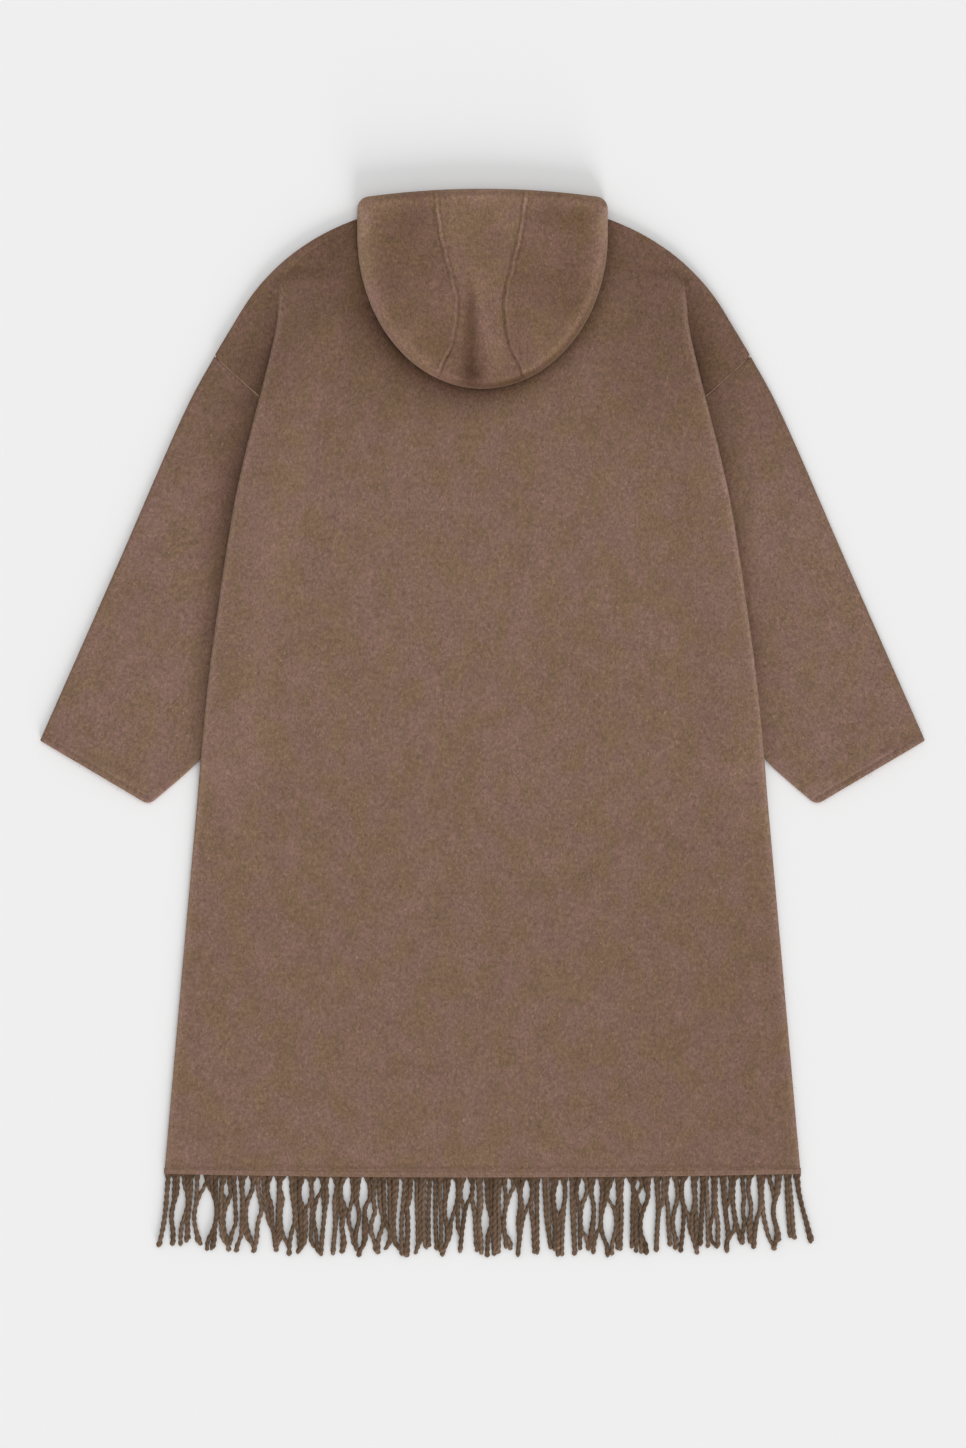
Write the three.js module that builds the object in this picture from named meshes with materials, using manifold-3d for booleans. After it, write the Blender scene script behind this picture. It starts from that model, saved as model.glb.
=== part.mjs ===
// A hooded, fringed wool coat lying flat with its back up: back, two fronts, two
// sleeves, a three-panel hood turned back over the shoulders, and twisted fringe
// along the hem. Millimetres, +Z up, +Y towards the hood, origin under the centre
// of the coat on the surface that it lies on.
import * as THREE from "three";
import { mergeVertices } from "three/addons/utils/BufferGeometryUtils.js";
import Module from "manifold-3d";

const wasm = await Module();
wasm.setup();

// Driving sizes
const CLOTH = 2.5; // wall of the double-faced wool
const GAP = 0.3; // between pieces at a seam and between layers that touch
const HALF = CLOTH / 2;
const LAID = CLOTH + GAP + HALF; // middle of a wall that lies on one layer of cloth
const HEM_Y = -503.5; // lower edge of the hem strip at the side
const HEM_BOW = 4; // how much lower the hem hangs at the centre
const STRIP = 6; // height of the strip that carries the fringe
const NECK = { halfWidth: 96, y: 577, frontDrop: 82 };
const CUFF = { outerX: 495, outerY: -18.5, innerX: 373, innerY: -91.3 };
const COLOUR = 0x7f6555;

// Shoulder and overarm outline from the neck to the armhole seam's outer end
const SHOULDER = [
  { x: 96, y: 577 },
  { x: 141, y: 564 },
  { x: 186, y: 543 },
  { x: 226, y: 514 },
  { x: 258, y: 479 },
  { x: 282, y: 441 },
  { x: 300, y: 411 },
];
// Side fold of the body: half width at each height, from the pleat's tip to the hem
const SIDE = [
  { y: 575, x: 96 },
  { y: 548, x: 160 },
  { y: 520, x: 205 },
  { y: 489, x: 226 },
  { y: 445, x: 231 },
  { y: 398, x: 241 },
  { y: 358, x: 251 },
  { y: 303, x: 265 },
  { y: 249, x: 277 },
  { y: 142, x: 294 },
  { y: 36, x: 308 },
  { y: -108, x: 321 },
  { y: -310, x: 339 },
  { y: -503.5, x: 356 },
];
const ARMHOLE = { outer: { x: 300, y: 411 }, fold: { x: 249, y: 365 } };

// Side folds of the back: how far their cloth rises over the flat cloth, and the
// height above the surface at which the fold's round lip ends
const FOLD = [
  { y: 489, rise: 0, foot: 4.05 },
  { y: 465, rise: 2.6, foot: 4.3 },
  { y: 435, rise: 5.6, foot: 4.7 },
  { y: 395, rise: 8, foot: 5 },
  { y: 382, rise: 8.4, foot: 5.6 },
  { y: 365, rise: 8.7, foot: 8.8 },
  { y: 10, rise: 9, foot: 8.7 },
  { y: -42, rise: 7.6, foot: 8.7 },
  { y: -62, rise: 4.6, foot: 5.4 },
  { y: -90, rise: 2.4, foot: 4 },
  { y: -130, rise: 0.8, foot: 4.05 },
  { y: -190, rise: 0, foot: 4.05 },
];
const RAMP = { start: 32, end: 78 }; // mm inside the fold where the rise dies out

// Overarm and underarm edges of a sleeve, from its armhole to its cuff
const OVERARM = [
  { x: 300, y: 411 },
  { x: 328, y: 360 },
  { x: 411.5, y: 170.7 },
  { x: CUFF.outerX, y: CUFF.outerY },
];
const UNDERARM = [
  { x: 215, y: 334 },
  { x: 234, y: 250 },
  { x: 248, y: 165 },
  { x: 261, y: 80 },
  { x: 281, y: 8 },
  { x: 315, y: -39 },
  { x: CUFF.innerX, y: CUFF.innerY },
];

// How far along its length a sleeve leaves the body's fold, and how much it puffs up
const SLEEVE = { leavesFold: 0.834, puff: 1.5 };

const HOOD = {
  halfWidth: 140,
  topY: 597.5,
  cornerY: 589,
  cornerR: 14,
  belowY: 546, // where the straight side passes into the round crown
  crownY: 374,
  base: 5.9,
  height: 18,
  rim: 11.5,
};
// Half width of the hood's centre panel at each height
const HOOD_SEAM = [
  { y: 600, x: 51 },
  { y: 589, x: 50 },
  { y: 545, x: 44 },
  { y: 508, x: 35 },
  { y: 468, x: 27 },
  { y: 430, x: 31 },
  { y: 395, x: 46 },
  { y: 370, x: 54 },
];
// Soft forms of the hood: a trough or ridge along a line down the centre panel
const HOOD_FOLDS = [
  { x: -12, from: 515, to: 380, width: 9, depth: -2.4 },
  { x: 4, from: 500, to: 392, width: 11, depth: 0.9 },
  { x: -62, from: 560, to: 420, width: 34, depth: -1.2 },
  { x: 66, from: 565, to: 425, width: 34, depth: -1.4 },
];

const FRINGE = {
  perBack: 68,
  perFront: 34,
  radius: 2.2,
  tipY: -597.5,
  steps: 4,
};

const clamp = (v, a, b) => Math.min(b, Math.max(a, v));
const smooth = (a, b, v) => {
  const t = clamp((v - a) / (b - a), 0, 1);
  return t * t * (3 - 2 * t);
};

// Reads a table's column at a key, between its rows along a monotone curve
function column(table, key, value, at) {
  const rows = [...table].sort((p, q) => p[key] - q[key]);
  const last = rows.length - 1;
  if (at <= rows[0][key]) return rows[0][value];
  if (at >= rows[last][key]) return rows[last][value];
  const i = rows.findIndex((r) => r[key] > at) - 1;
  const slope = (j) =>
    (rows[j + 1][value] - rows[j][value]) / (rows[j + 1][key] - rows[j][key]);
  const tangent = (j) => {
    if (j === 0) return slope(0);
    if (j === last) return slope(last - 1);
    const [a, b] = [slope(j - 1), slope(j)];
    return a * b <= 0 ? 0 : (2 * a * b) / (a + b);
  };
  const h = rows[i + 1][key] - rows[i][key];
  const t = (at - rows[i][key]) / h;
  const [t2, t3] = [t * t, t * t * t];
  return (
    (2 * t3 - 3 * t2 + 1) * rows[i][value] +
    (t3 - 2 * t2 + t) * h * tangent(i) +
    (3 * t2 - 2 * t3) * rows[i + 1][value] +
    (t3 - t2) * h * tangent(i + 1)
  );
}

const plan = (rows) =>
  new THREE.CatmullRomCurve3(
    rows.map((r) => new THREE.Vector3(r.x, r.y, 0)),
    false,
    "centripetal",
  );
const sideX = (y) => column(SIDE, "y", "x", y);
const hemY = (x) => HEM_Y - HEM_BOW * (1 - (x / 356) ** 2);

// Solids -------------------------------------------------------------------

const geometryOf = (points, index) => {
  const g = new THREE.BufferGeometry();
  g.setAttribute("position", new THREE.Float32BufferAttribute(points.flat(), 3));
  g.setIndex(index);
  return g;
};

// Welds equal points and drops the triangles that collapse
function weld(geometry) {
  const g = geometry.clone();
  g.deleteAttribute("normal");
  g.deleteAttribute("uv");
  const merged = mergeVertices(g, 1e-3);
  const kept = [];
  for (let i = 0; i < merged.index.count; i += 3) {
    const [a, b, c] = [0, 1, 2].map((k) => merged.index.getX(i + k));
    if (a !== b && b !== c && a !== c) kept.push(a, b, c);
  }
  merged.setIndex(kept);
  return merged;
}

function solid(geometry) {
  const g = weld(geometry);
  const made = new wasm.Manifold(
    new wasm.Mesh({
      numProp: 3,
      vertProperties: new Float32Array(g.attributes.position.array),
      triVerts: new Uint32Array(g.index.array),
    }),
  );
  if (made.volume() >= 0) return made;
  const turned = [];
  for (let i = 0; i < g.index.count; i += 3)
    turned.push(g.index.getX(i), g.index.getX(i + 2), g.index.getX(i + 1));
  g.setIndex(turned);
  return solid(g);
}

// A cut or fused solid without the slivers that its cuts leave
const tidied = (manifold) => manifold.asOriginal().simplify(0.04);
const fused = (list) => tidied(wasm.Manifold.union(list));

function geometryFrom(manifold) {
  const m = manifold.getMesh();
  const g = new THREE.BufferGeometry();
  g.setAttribute("position", new THREE.BufferAttribute(m.vertProperties, 3));
  g.setIndex(new THREE.BufferAttribute(m.triVerts, 1));
  return g;
}

// Index of a grid of points, rows by columns
function gridIndex(rows, columns, closed = false, offset = 0) {
  const index = [];
  const wide = closed ? columns : columns - 1;
  for (let r = 0; r + 1 < rows; r++)
    for (let c = 0; c < wide; c++) {
      const next = (c + 1) % columns;
      const [a, b] = [offset + r * columns + c, offset + r * columns + next];
      const [d, e] = [a + columns, b + columns];
      index.push(a, b, e, a, e, d);
    }
  return index;
}

// A cloth wall round a middle surface made of one or more welded grids of points
function clothWall(grids) {
  const points = [];
  const index = [];
  for (const rows of grids) {
    index.push(...gridIndex(rows.length, rows[0].length, false, points.length));
    points.push(...rows.flat());
  }
  const middle = weld(geometryOf(points, index));
  middle.computeVertexNormals();
  const at = middle.attributes.position;
  const normal = middle.attributes.normal;
  const faces = Array.from(middle.index.array);
  const count = at.count;
  const wall = [];
  for (const sign of [1, -1])
    for (let i = 0; i < count; i++)
      wall.push([
        at.getX(i) + sign * HALF * normal.getX(i),
        at.getY(i) + sign * HALF * normal.getY(i),
        at.getZ(i) + sign * HALF * normal.getZ(i),
      ]);
  const edges = new Map();
  const made = [];
  for (let i = 0; i < faces.length; i += 3) {
    const [a, b, c] = faces.slice(i, i + 3);
    made.push(a, b, c, a + count, c + count, b + count);
    for (const [p, q] of [
      [a, b],
      [b, c],
      [c, a],
    ])
      if (!edges.delete(`${q},${p}`)) edges.set(`${p},${q}`, [p, q]);
  }
  for (const [p, q] of edges.values())
    made.push(p, q + count, q, p, p + count, q + count);
  return solid(geometryOf(wall, made));
}

// A flat plate of cloth lying at a height, with softened edges
function plate(points, z, thick = CLOTH, soft = 0.7) {
  const shape = new THREE.Shape(points.map(([x, y]) => new THREE.Vector2(x, y)));
  const geometry = new THREE.ExtrudeGeometry(shape, {
    depth: thick - 2 * soft,
    bevelEnabled: soft > 0,
    bevelSize: soft,
    bevelOffset: -soft,
    bevelThickness: soft,
    bevelSegments: 1,
  });
  geometry.translate(0, 0, z + soft);
  return solid(geometry);
}

// Pieces -------------------------------------------------------------------

// Outline of one front in plan: centre front, neckline, shoulder, armhole, side, hem
function frontOutline(side) {
  const inset = 0.8;
  const points = [];
  const neckSteps = 8;
  for (let i = 0; i < neckSteps; i++) {
    const a = (i / neckSteps) * (Math.PI / 2);
    const x = Math.max(GAP / 2, NECK.halfWidth * Math.sin(a));
    points.push([side * x, NECK.y - NECK.frontDrop * Math.cos(a)]);
  }
  for (const p of plan(SHOULDER).getPoints(12))
    points.push([side * (p.x - inset), p.y - inset]);
  for (const y of [365, 330, 290, 240, 180, 110, 36, -60, -180, -310, -430])
    points.push([side * (sideX(y) - inset), y]);
  const hemSteps = 4;
  for (let i = 0; i <= hemSteps; i++) {
    const x = clamp(355 * (1 - i / hemSteps), GAP / 2, 355);
    points.push([side * x, hemY(x) + STRIP + GAP]);
  }
  return points;
}

const front = (side) => plate(frontOutline(side), 0);

// Height of a back row's middle surface at a distance inside its side fold
function backHeight(y, inside) {
  const rise = column(FOLD, "y", "rise", y);
  return LAID + rise * (1 - smooth(RAMP.start, RAMP.end, inside));
}

// Profile of the fold's round lip: outward offset and share of the drop
const LIP = [
  { out: -7, drop: 0 },
  { out: -3.4, drop: 0.06 },
  { out: -1.6, drop: 0.28 },
  { out: -1.25, drop: 1 },
];

// How far a point of the lip lies outside the fold: less where the fold is shallow
function lipOut(y, k) {
  const drop = backHeight(y, 0) - column(FOLD, "y", "foot", y);
  return LIP[k].out * clamp(drop / 3, 0.25, 1);
}

// The back's wing outside the fold: from the fold's foot to the shoulder or armhole seam
function wingX(y) {
  const { outer, fold } = ARMHOLE;
  if (y >= outer.y) return shoulderX(y);
  const t = (y - fold.y) / (outer.y - fold.y);
  return fold.x + t * (outer.x - fold.x);
}
const shoulderX = (y) => column(SHOULDER, "y", "x", y);

function backPanel() {
  const rows = [
    575, 562, 548, 534, 520, 505, 489, 472, 455, 438, 420, 411, 395, 380, 365, 350,
    325, 285, 235, 180, 120, 60, 10, -42, -62, -90, -130, -190, -280, -390, HEM_Y,
  ];
  const inner = [150, 78, 66, 54, 42, 32, 18];
  const grids = [];
  for (const side of [-1, 1]) {
    const main = rows.map((y) => {
      const edge = sideX(y);
      const z = backHeight(y, 0);
      const foot = column(FOLD, "y", "foot", y);
      const wide = clamp((edge - 20) / 160, 0.35, 1);
      const at = (x, height) => [
        side * x,
        y === HEM_Y ? hemY(x) + STRIP + GAP : y,
        height,
      ];
      const line = [at(0, backHeight(y, edge))];
      for (const d of inner) line.push(at(edge - d * wide, backHeight(y, d * wide)));
      LIP.forEach(({ drop }, k) => {
        line.push(at(edge + lipOut(y, k), z - drop * (z - foot)));
      });
      return side > 0 ? line : line.reverse();
    });
    grids.push(main);
    const wing = rows
      .filter((y) => y >= ARMHOLE.fold.y)
      .map((y) => {
        const foot = sideX(y) + lipOut(y, 3);
        const lift = column(FOLD, "y", "foot", y) - LAID;
        const width = Math.max(0, wingX(y) - 0.5 - foot);
        const line = [0, 0.12, 0.45, 0.8, 1].map((t) => {
          const fall = t * Math.min(1, width / 8);
          return [side * (foot + t * width), y, LAID + lift * (1 - fall) ** 2];
        });
        return side > 0 ? line : line.reverse();
      });
    grids.push(wing);
  }
  return clothWall(grids);
}

// Share of the way from overarm to underarm at which a sleeve passes under the fold
function foldShare(over, under) {
  let [low, high] = [0, 1];
  for (let i = 0; i < 20; i++) {
    const p = over.clone().lerp(under, (low + high) / 2);
    if (p.x > sideX(p.y)) low = (low + high) / 2;
    else high = (low + high) / 2;
  }
  return (low + high) / 2;
}

function sleeve(side) {
  const over = plan(OVERARM);
  const under = plan(UNDERARM);
  const leaves = SLEEVE.leavesFold;
  const stations = [0.0015, 0.05, 0.13, 0.25, 0.38, 0.51, 0.64, 0.74, leaves, 0.9, 1];
  const ring = (t, inset) => {
    const o = over.getPointAt(t);
    const i = under.getPointAt(t);
    const width = o.distanceTo(i);
    const fold = foldShare(o, i);
    const hidden = t <= leaves;
    const [start, end] = hidden ? [fold - 15 / width, fold - 3 / width] : [0.8, 0.9];
    const across = [0, 0.02, 0.07, 0.3, 0.65, 1].map((u) => u * start);
    across.push(...[0, 0.5, 0.8, 0.95, 1].map((u) => end + u * (1 - end)));
    const top = [];
    const bottom = [];
    across.forEach((u, k) => {
      const p = o.clone().lerp(i, (inset + u * (width - 2 * inset)) / width);
      const ground = hidden && u >= end ? CLOTH + GAP : 0;
      const puff = SLEEVE.puff * Math.sin(Math.PI * Math.min(1, u / end));
      const full = 2 * CLOTH + GAP + puff;
      const round = [0.5, 0.13][Math.min(k, across.length - 1 - k)] ?? 0;
      const low = inset ? CLOTH : 0;
      const high = full - low;
      const span = (high - low) * round;
      top.push([side * p.x, p.y, ground + high - span]);
      bottom.push([side * p.x, p.y, ground + low + span]);
    });
    return [...top, ...bottom.slice(1, -1).reverse()];
  };
  const outer = stations.map((t) => ring(t, 0));
  const inner = stations.map((t) => ring(t, CLOTH));
  const n = outer[0].length;
  const loop = [...outer, ...inner.reverse(), outer[0]];
  return solid(geometryOf(loop.flat(), gridIndex(loop.length, n, true)));
}

// Outline of the hood, one point for each share of the way round from the crown
function hoodOutline(inset, steps = 44) {
  const { halfWidth, topY, cornerY, cornerR, belowY, crownY } = HOOD;
  const half = steps / 2;
  const right = [];
  const round = Math.round(half * 0.5);
  for (let i = 0; i < round; i++) {
    const a = (i / round) * (Math.PI / 2);
    right.push([halfWidth * Math.sin(a), belowY - (belowY - crownY) * Math.cos(a)]);
  }
  right.push([halfWidth, belowY], [halfWidth, 566]);
  for (const a of [0, 45, 90].map((d) => (d * Math.PI) / 180))
    right.push([
      halfWidth - cornerR * (1 - Math.cos(a)),
      cornerY - cornerR * (1 - Math.sin(a)),
    ]);
  const top = half - right.length;
  for (let i = 1; i <= top; i++) {
    const x = (halfWidth - cornerR) * (1 - i / top);
    right.push([x, topY - (topY - cornerY) * (x / (halfWidth - cornerR)) ** 2]);
  }
  const left = right.slice(1, -1).reverse().map(([x, y]) => [-x, y]);
  const outline = [...right, ...left];
  const n = outline.length;
  return outline.map(([x, y], i) => {
    const [px, py] = outline[(i + n - 1) % n];
    const [nx, ny] = outline[(i + 1) % n];
    const long = Math.hypot(nx - px, ny - py);
    return [x - (inset * (ny - py)) / long, y + (inset * (nx - px)) / long];
  });
}

const hoodSeamX = (y) => column(HOOD_SEAM, "y", "x", y);

// Height of the hood's upper cloth at a plan point, over its flat top
function hoodForm(x, y) {
  let z = 0;
  for (const f of HOOD_FOLDS) {
    const along = smooth(f.to - 12, f.to + 25, y) * (1 - smooth(f.from - 40, f.from, y));
    z += f.depth * along * Math.exp(-(((x - f.x) / f.width) ** 2));
  }
  return z;
}

// The hood's upper cloth as one wall: a round rim, then rings in to a spine
function hoodShell() {
  const { base, height, rim } = HOOD;
  const topZ = height - HALF;
  const rimSteps = [
    { inset: HALF + 1.2, z: base + HALF + 0.2 },
    { inset: HALF, z: base + 3.4 },
    { inset: HALF + 0.8, z: base + 6.4 },
    { inset: 5, z: topZ - 1.7 },
    { inset: rim, z: topZ - 0.2 },
  ];
  const rings = rimSteps.map((s) => hoodOutline(s.inset).map(([x, y]) => [x, y, s.z]));
  const from = hoodOutline(rim);
  for (const f of [0.16, 0.34, 0.52, 0.68, 0.8, 0.9, 1]) {
    rings.push(
      from.map(([x, y]) => {
        const spineY = clamp(y, 430, 560);
        const [px, py] = [x + f * (0 - x), y + f * (spineY - y)];
        return [px, py, topZ + hoodForm(px, py)];
      }),
    );
  }
  return clothWall([rings.map((r) => [...r, r[0]])]);
}

// A tall prism over a plan outline, to cut the hood's wall into its panels
function prism(points) {
  const shape = new THREE.Shape(points.map(([x, y]) => new THREE.Vector2(x, y)));
  return solid(new THREE.ExtrudeGeometry(shape, { depth: 60, bevelEnabled: false }));
}

function seamLine(side, offset) {
  const line = [];
  for (const y of [360, 375, 395, 412, 430, 450, 468, 488, 508, 545, 589, 620])
    line.push([side * (hoodSeamX(y) + offset) - 2, y]);
  return line;
}

// The part of a hood side panel under the coat: from the front neckline to the hood's edge
function neckPart(side) {
  const edge = [];
  const steps = 6;
  const drop = NECK.frontDrop;
  for (let i = 0; i <= steps; i++) {
    const a = (i / steps) * (Math.PI / 2);
    const r = NECK.halfWidth - GAP - 0.4;
    const x = Math.max(GAP / 2 + 1, r * Math.sin(a));
    edge.push([side * x, NECK.y - (drop - GAP - 0.4) * Math.cos(a)]);
  }
  edge.push([side * 118, 573], [side * 137.6, 567.4]);
  edge.push([side * 137.6, 583], [side * 128, 590], [side * 100, 590]);
  edge.push([side * 8, NECK.y - drop + 20]);
  return plate(edge, 0);
}

// The upright stretch that joins the neck part to the hood's rim, beside the shoulder
function neckWall(side) {
  const points = [
    [side * 137.6, 567.4],
    [side * 137.9, 584],
    [side * 135.1, 584],
    [side * 135.1, 567.4],
  ];
  const shape = new THREE.Shape(points.map(([x, y]) => new THREE.Vector2(x, y)));
  const made = new THREE.ExtrudeGeometry(shape, {
    depth: HOOD.base + 3,
    bevelEnabled: false,
  });
  return solid(made.translate(0, 0, 0.4));
}

function hoodPanels() {
  const shell = hoodShell();
  const cut = GAP / 2;
  const side = (s) => {
    const line = seamLine(s, cut);
    return shell.intersect(prism([...line, [s * 200, 620], [s * 200, 360]]));
  };
  const centre = prism([...seamLine(1, -cut), ...seamLine(-1, -cut).reverse()]);
  return {
    left: fused([side(-1), neckPart(-1), neckWall(-1)]),
    right: fused([side(1), neckPart(1), neckWall(1)]),
    centre: tidied(shell.intersect(centre)),
  };
}

// The hood's hidden layers: one rounded form with a groove between its two layers
function hoodUnder() {
  const low = HOOD.base - GAP;
  const levels = [
    { inset: 9, z: low },
    { inset: 6, z: low + 1 },
    { inset: 6, z: low + 2.4 },
    { inset: 7.5, z: low + 3 },
    { inset: 6.2, z: low + 3.6 },
    { inset: 7.2, z: low + 5 },
    { inset: 12, z: low + 6.2 },
  ];
  const rings = levels.map((l) => hoodOutline(l.inset, 32).map(([x, y]) => [x, y, l.z]));
  const spine = (ring, z) => ring.map(([, y]) => [0, clamp(y, 430, 560), z]);
  const rows = [
    spine(rings[0], levels[0].z),
    ...rings,
    spine(rings[rings.length - 1], levels[levels.length - 1].z),
  ];
  return solid(geometryOf(rows.flat(), gridIndex(rows.length, rows[0].length, true)));
}

// Sideways lean of a strand, worked out from where it is rooted
function lean(x, along, layer) {
  const swing = layer === "back" ? [0.137, 0.071, 0.4] : [0.121, 0.083, 2.1];
  const wave = 2.7 * Math.sin(swing[0] * x + swing[2]);
  const slow = 2.6 * Math.sin(swing[1] * x + 2 * swing[2]);
  const toEdge = 356 - Math.abs(x);
  const flare = Math.sign(x) * 19 * Math.exp(-toEdge / 9);
  const bow = 1.6 * Math.sin(0.09 * x + swing[2]) * Math.sin(Math.PI * along);
  return (wave + slow + flare) * along ** 1.4 + bow;
}

// Lower end of a strand: uneven along the hem, and higher towards the sides
const tipY = (x, index) =>
  FRINGE.tipY + 14 * (x / 356) ** 4 + 8 * Math.sin((index - 34) * 2.4) ** 2;

function strand(x, index, layer) {
  const { radius, steps } = FRINGE;
  const root = layer === "back" ? CLOTH + GAP + HALF : HALF + 0.2;
  const rest = layer === "back" ? 7.5 : radius + 0.4;
  const top = hemY(x) + 2;
  const rows = [];
  for (let i = 0; i <= steps; i++) {
    const along = i / steps;
    const y = top + along * (tipY(x, index) - top);
    const cx = x + lean(x, along, layer);
    const settle = smooth(0, 0.3, along);
    const cz = root + (rest - root) * settle;
    const tall = HALF - 0.1 + (radius - HALF + 0.1) * settle;
    const slim = i === steps ? 0.75 : 1;
    rows.push([
      [cx - radius * slim, y, cz],
      [cx, y, cz + tall * slim],
      [cx + radius * slim, y, cz],
      [cx, y, cz - tall * slim],
    ]);
  }
  const points = rows.flat();
  const last = points.length - 4;
  const caps = [0, 2, 1, 0, 3, 2, last, last + 1, last + 2, last, last + 2, last + 3];
  return solid(geometryOf(points, [...gridIndex(rows.length, 4, true), ...caps]));
}

// A strip along the hem with its strands fused to it
function fringe(fromX, toX, count, layer) {
  const low = layer === "back" ? CLOTH + GAP : 0;
  const upper = [];
  const lower = [];
  const bends = 12;
  for (let i = 0; i <= bends; i++) {
    const x = fromX + (i / bends) * (toX - fromX);
    upper.push([x, hemY(x) + STRIP]);
    lower.push([x, hemY(x)]);
  }
  const strip = plate([...lower, ...upper.reverse()], low, CLOTH, 0);
  const strands = [];
  const pitch = (toX - fromX) / count;
  for (let i = 0; i < count; i++)
    strands.push(strand(fromX + (i + 0.5) * pitch, i, layer));
  return fused([strip, ...strands]);
}

// The coat ------------------------------------------------------------------

const wool = (roughness) =>
  new THREE.MeshStandardMaterial({ color: COLOUR, roughness, metalness: 0 });
const coat = new THREE.Group();

function add(name, manifold, roughness = 0.95) {
  const mesh = new THREE.Mesh(geometryFrom(manifold), wool(roughness));
  mesh.name = name;
  coat.add(mesh);
}

add("front_left", front(-1));
add("front_right", front(1));
add("sleeve_left", sleeve(-1));
add("sleeve_right", sleeve(1));
add("back", backPanel());
add("hood_under", hoodUnder());
const panels = hoodPanels();
add("hood_left", panels.left);
add("hood_centre", panels.centre);
add("hood_right", panels.right);
add("fringe_front_left", fringe(-355, -GAP, FRINGE.perFront, "front"), 0.9);
add("fringe_front_right", fringe(GAP, 355, FRINGE.perFront, "front"), 0.9);
add("fringe_back", fringe(-356, 356, FRINGE.perBack, "back"), 0.9);

export default coat;
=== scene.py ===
"""A hooded, fringed wool coat that lies flat with its back up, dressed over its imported
solids. Lengths in the tables are millimetres in the frame of the solids: X across, Y
towards the hood, Z up. Objects are in metres."""

import math

import bpy
import numpy as np
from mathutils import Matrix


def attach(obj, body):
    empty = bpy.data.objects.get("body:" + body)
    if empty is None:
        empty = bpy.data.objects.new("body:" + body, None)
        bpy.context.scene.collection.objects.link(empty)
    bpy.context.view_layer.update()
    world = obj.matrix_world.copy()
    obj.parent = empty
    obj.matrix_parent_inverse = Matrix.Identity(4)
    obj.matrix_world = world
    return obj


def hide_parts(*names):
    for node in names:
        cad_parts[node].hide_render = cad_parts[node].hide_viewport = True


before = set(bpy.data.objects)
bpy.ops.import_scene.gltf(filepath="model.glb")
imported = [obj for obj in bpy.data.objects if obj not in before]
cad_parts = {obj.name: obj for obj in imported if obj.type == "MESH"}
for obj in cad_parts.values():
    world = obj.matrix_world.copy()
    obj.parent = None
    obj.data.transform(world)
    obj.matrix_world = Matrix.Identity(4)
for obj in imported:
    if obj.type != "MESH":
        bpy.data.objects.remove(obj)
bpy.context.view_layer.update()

MM = 0.001
SIDES = ((-1, "left"), (1, "right"))
CLOTH = 2.5  # wall of the double-faced wool
GAP = 0.3  # between pieces at a seam and between layers that touch
LAID = CLOTH + GAP + CLOTH / 2  # middle of a wall that lies on one layer of cloth
HEM_Y, HEM_HALF = -503.5, 356.0  # the hem's lower edge at its side, and half its width
HEM_BOW = 4.0  # how much lower the hem hangs at the centre
STRIP = 6.0  # height of the strip that carries the fringe
NECK_HALF, NECK_Y, NECK_DROP = 96.0, 577.0, 82.0

# (x, y) from the neck to the outer end of the armhole seam
SHOULDER = [(96, 577), (141, 564), (186, 543), (226, 514), (258, 479), (282, 441), (300, 411)]
# (y, half width) of the body's side fold
SIDE = [
    (575, 96), (548, 160), (520, 205), (489, 226), (445, 231), (398, 241), (358, 251),
    (303, 265), (249, 277), (142, 294), (36, 308), (-108, 321), (-310, 339), (-503.5, 356),
]
ARMHOLE_OUTER, ARMHOLE_FOLD = (300, 411), (249, 365)
# (y, rise over the flat cloth, height at which the fold's lip ends)
FOLD = [
    (489, 0, 4.05), (465, 2.6, 4.3), (435, 5.6, 4.7), (395, 8, 5), (382, 8.4, 5.6),
    (365, 8.7, 8.8), (10, 9, 8.7), (-42, 7.6, 8.7), (-62, 4.6, 5.4), (-90, 2.4, 4),
    (-130, 0.8, 4.05), (-190, 0, 4.05),
]
RAMP = (32, 78)  # the rise dies out between these distances inside the fold
# (y, depth and reach of the shade beside the left fold, the same beside the right one)
FOLD_SHADE = [
    (504, 0, 16, 0, 16), (484, 0.12, 16, 0.18, 16), (457, 0.15, 17, 0.28, 17),
    (418, 0.22, 22, 0.37, 20), (340, 0.36, 34, 0.34, 17), (239, 0.5, 24, 0.38, 12),
    (93, 0.36, 17, 0.35, 12), (-2, 0.24, 14, 0.24, 11), (-80, 0.1, 12, 0.1, 11),
    (-200, 0.05, 10, 0.05, 10),
]
# (x, y) of a sleeve's two edges from its armhole to its cuff
OVERARM = [(300, 411), (328, 360), (411.5, 170.7), (495, -18.5)]
UNDERARM = [(215, 334), (234, 250), (248, 165), (261, 80), (281, 8), (315, -39), (373, -91.3)]
SLEEVE_LONG = 476.0
SLEEVE_LEAVES = 0.834  # share of its length at which a sleeve leaves the body's fold
SLEEVE_PUFF = 1.5
# Hood outline, and (y, half width) of its centre panel
HOOD_HALF, HOOD_TOP, HOOD_CORNER, HOOD_CORNER_R = 140.0, 597.5, 589.0, 14.0
HOOD_BELOW, HOOD_CROWN, HOOD_BASE, HOOD_HEIGHT = 546.0, 374.0, 5.9, 18.0
HOOD_SEAM = [(600, 51), (589, 50), (545, 44), (508, 35), (468, 27), (430, 31), (395, 46), (370, 54)]
SEAM_SHIFT = 2.0  # how far left of the hood's middle its centre panel lies
# (y, x) of the soft ridge beside the trough in that panel
HOOD_RIDGE = [(498, -11), (471, -7), (449, -1.5), (427, 7), (400, 11)]


# Numbers --------------------


def smooth(a, b, v):
    """Rises from 0 at a to 1 at b with level ends, or falls where a is above b."""
    t = np.clip((v - a) / (b - a), 0, 1)
    return t * t * (3 - 2 * t)


def bell(v, width):
    return np.exp(-((v / width) ** 2))


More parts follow.
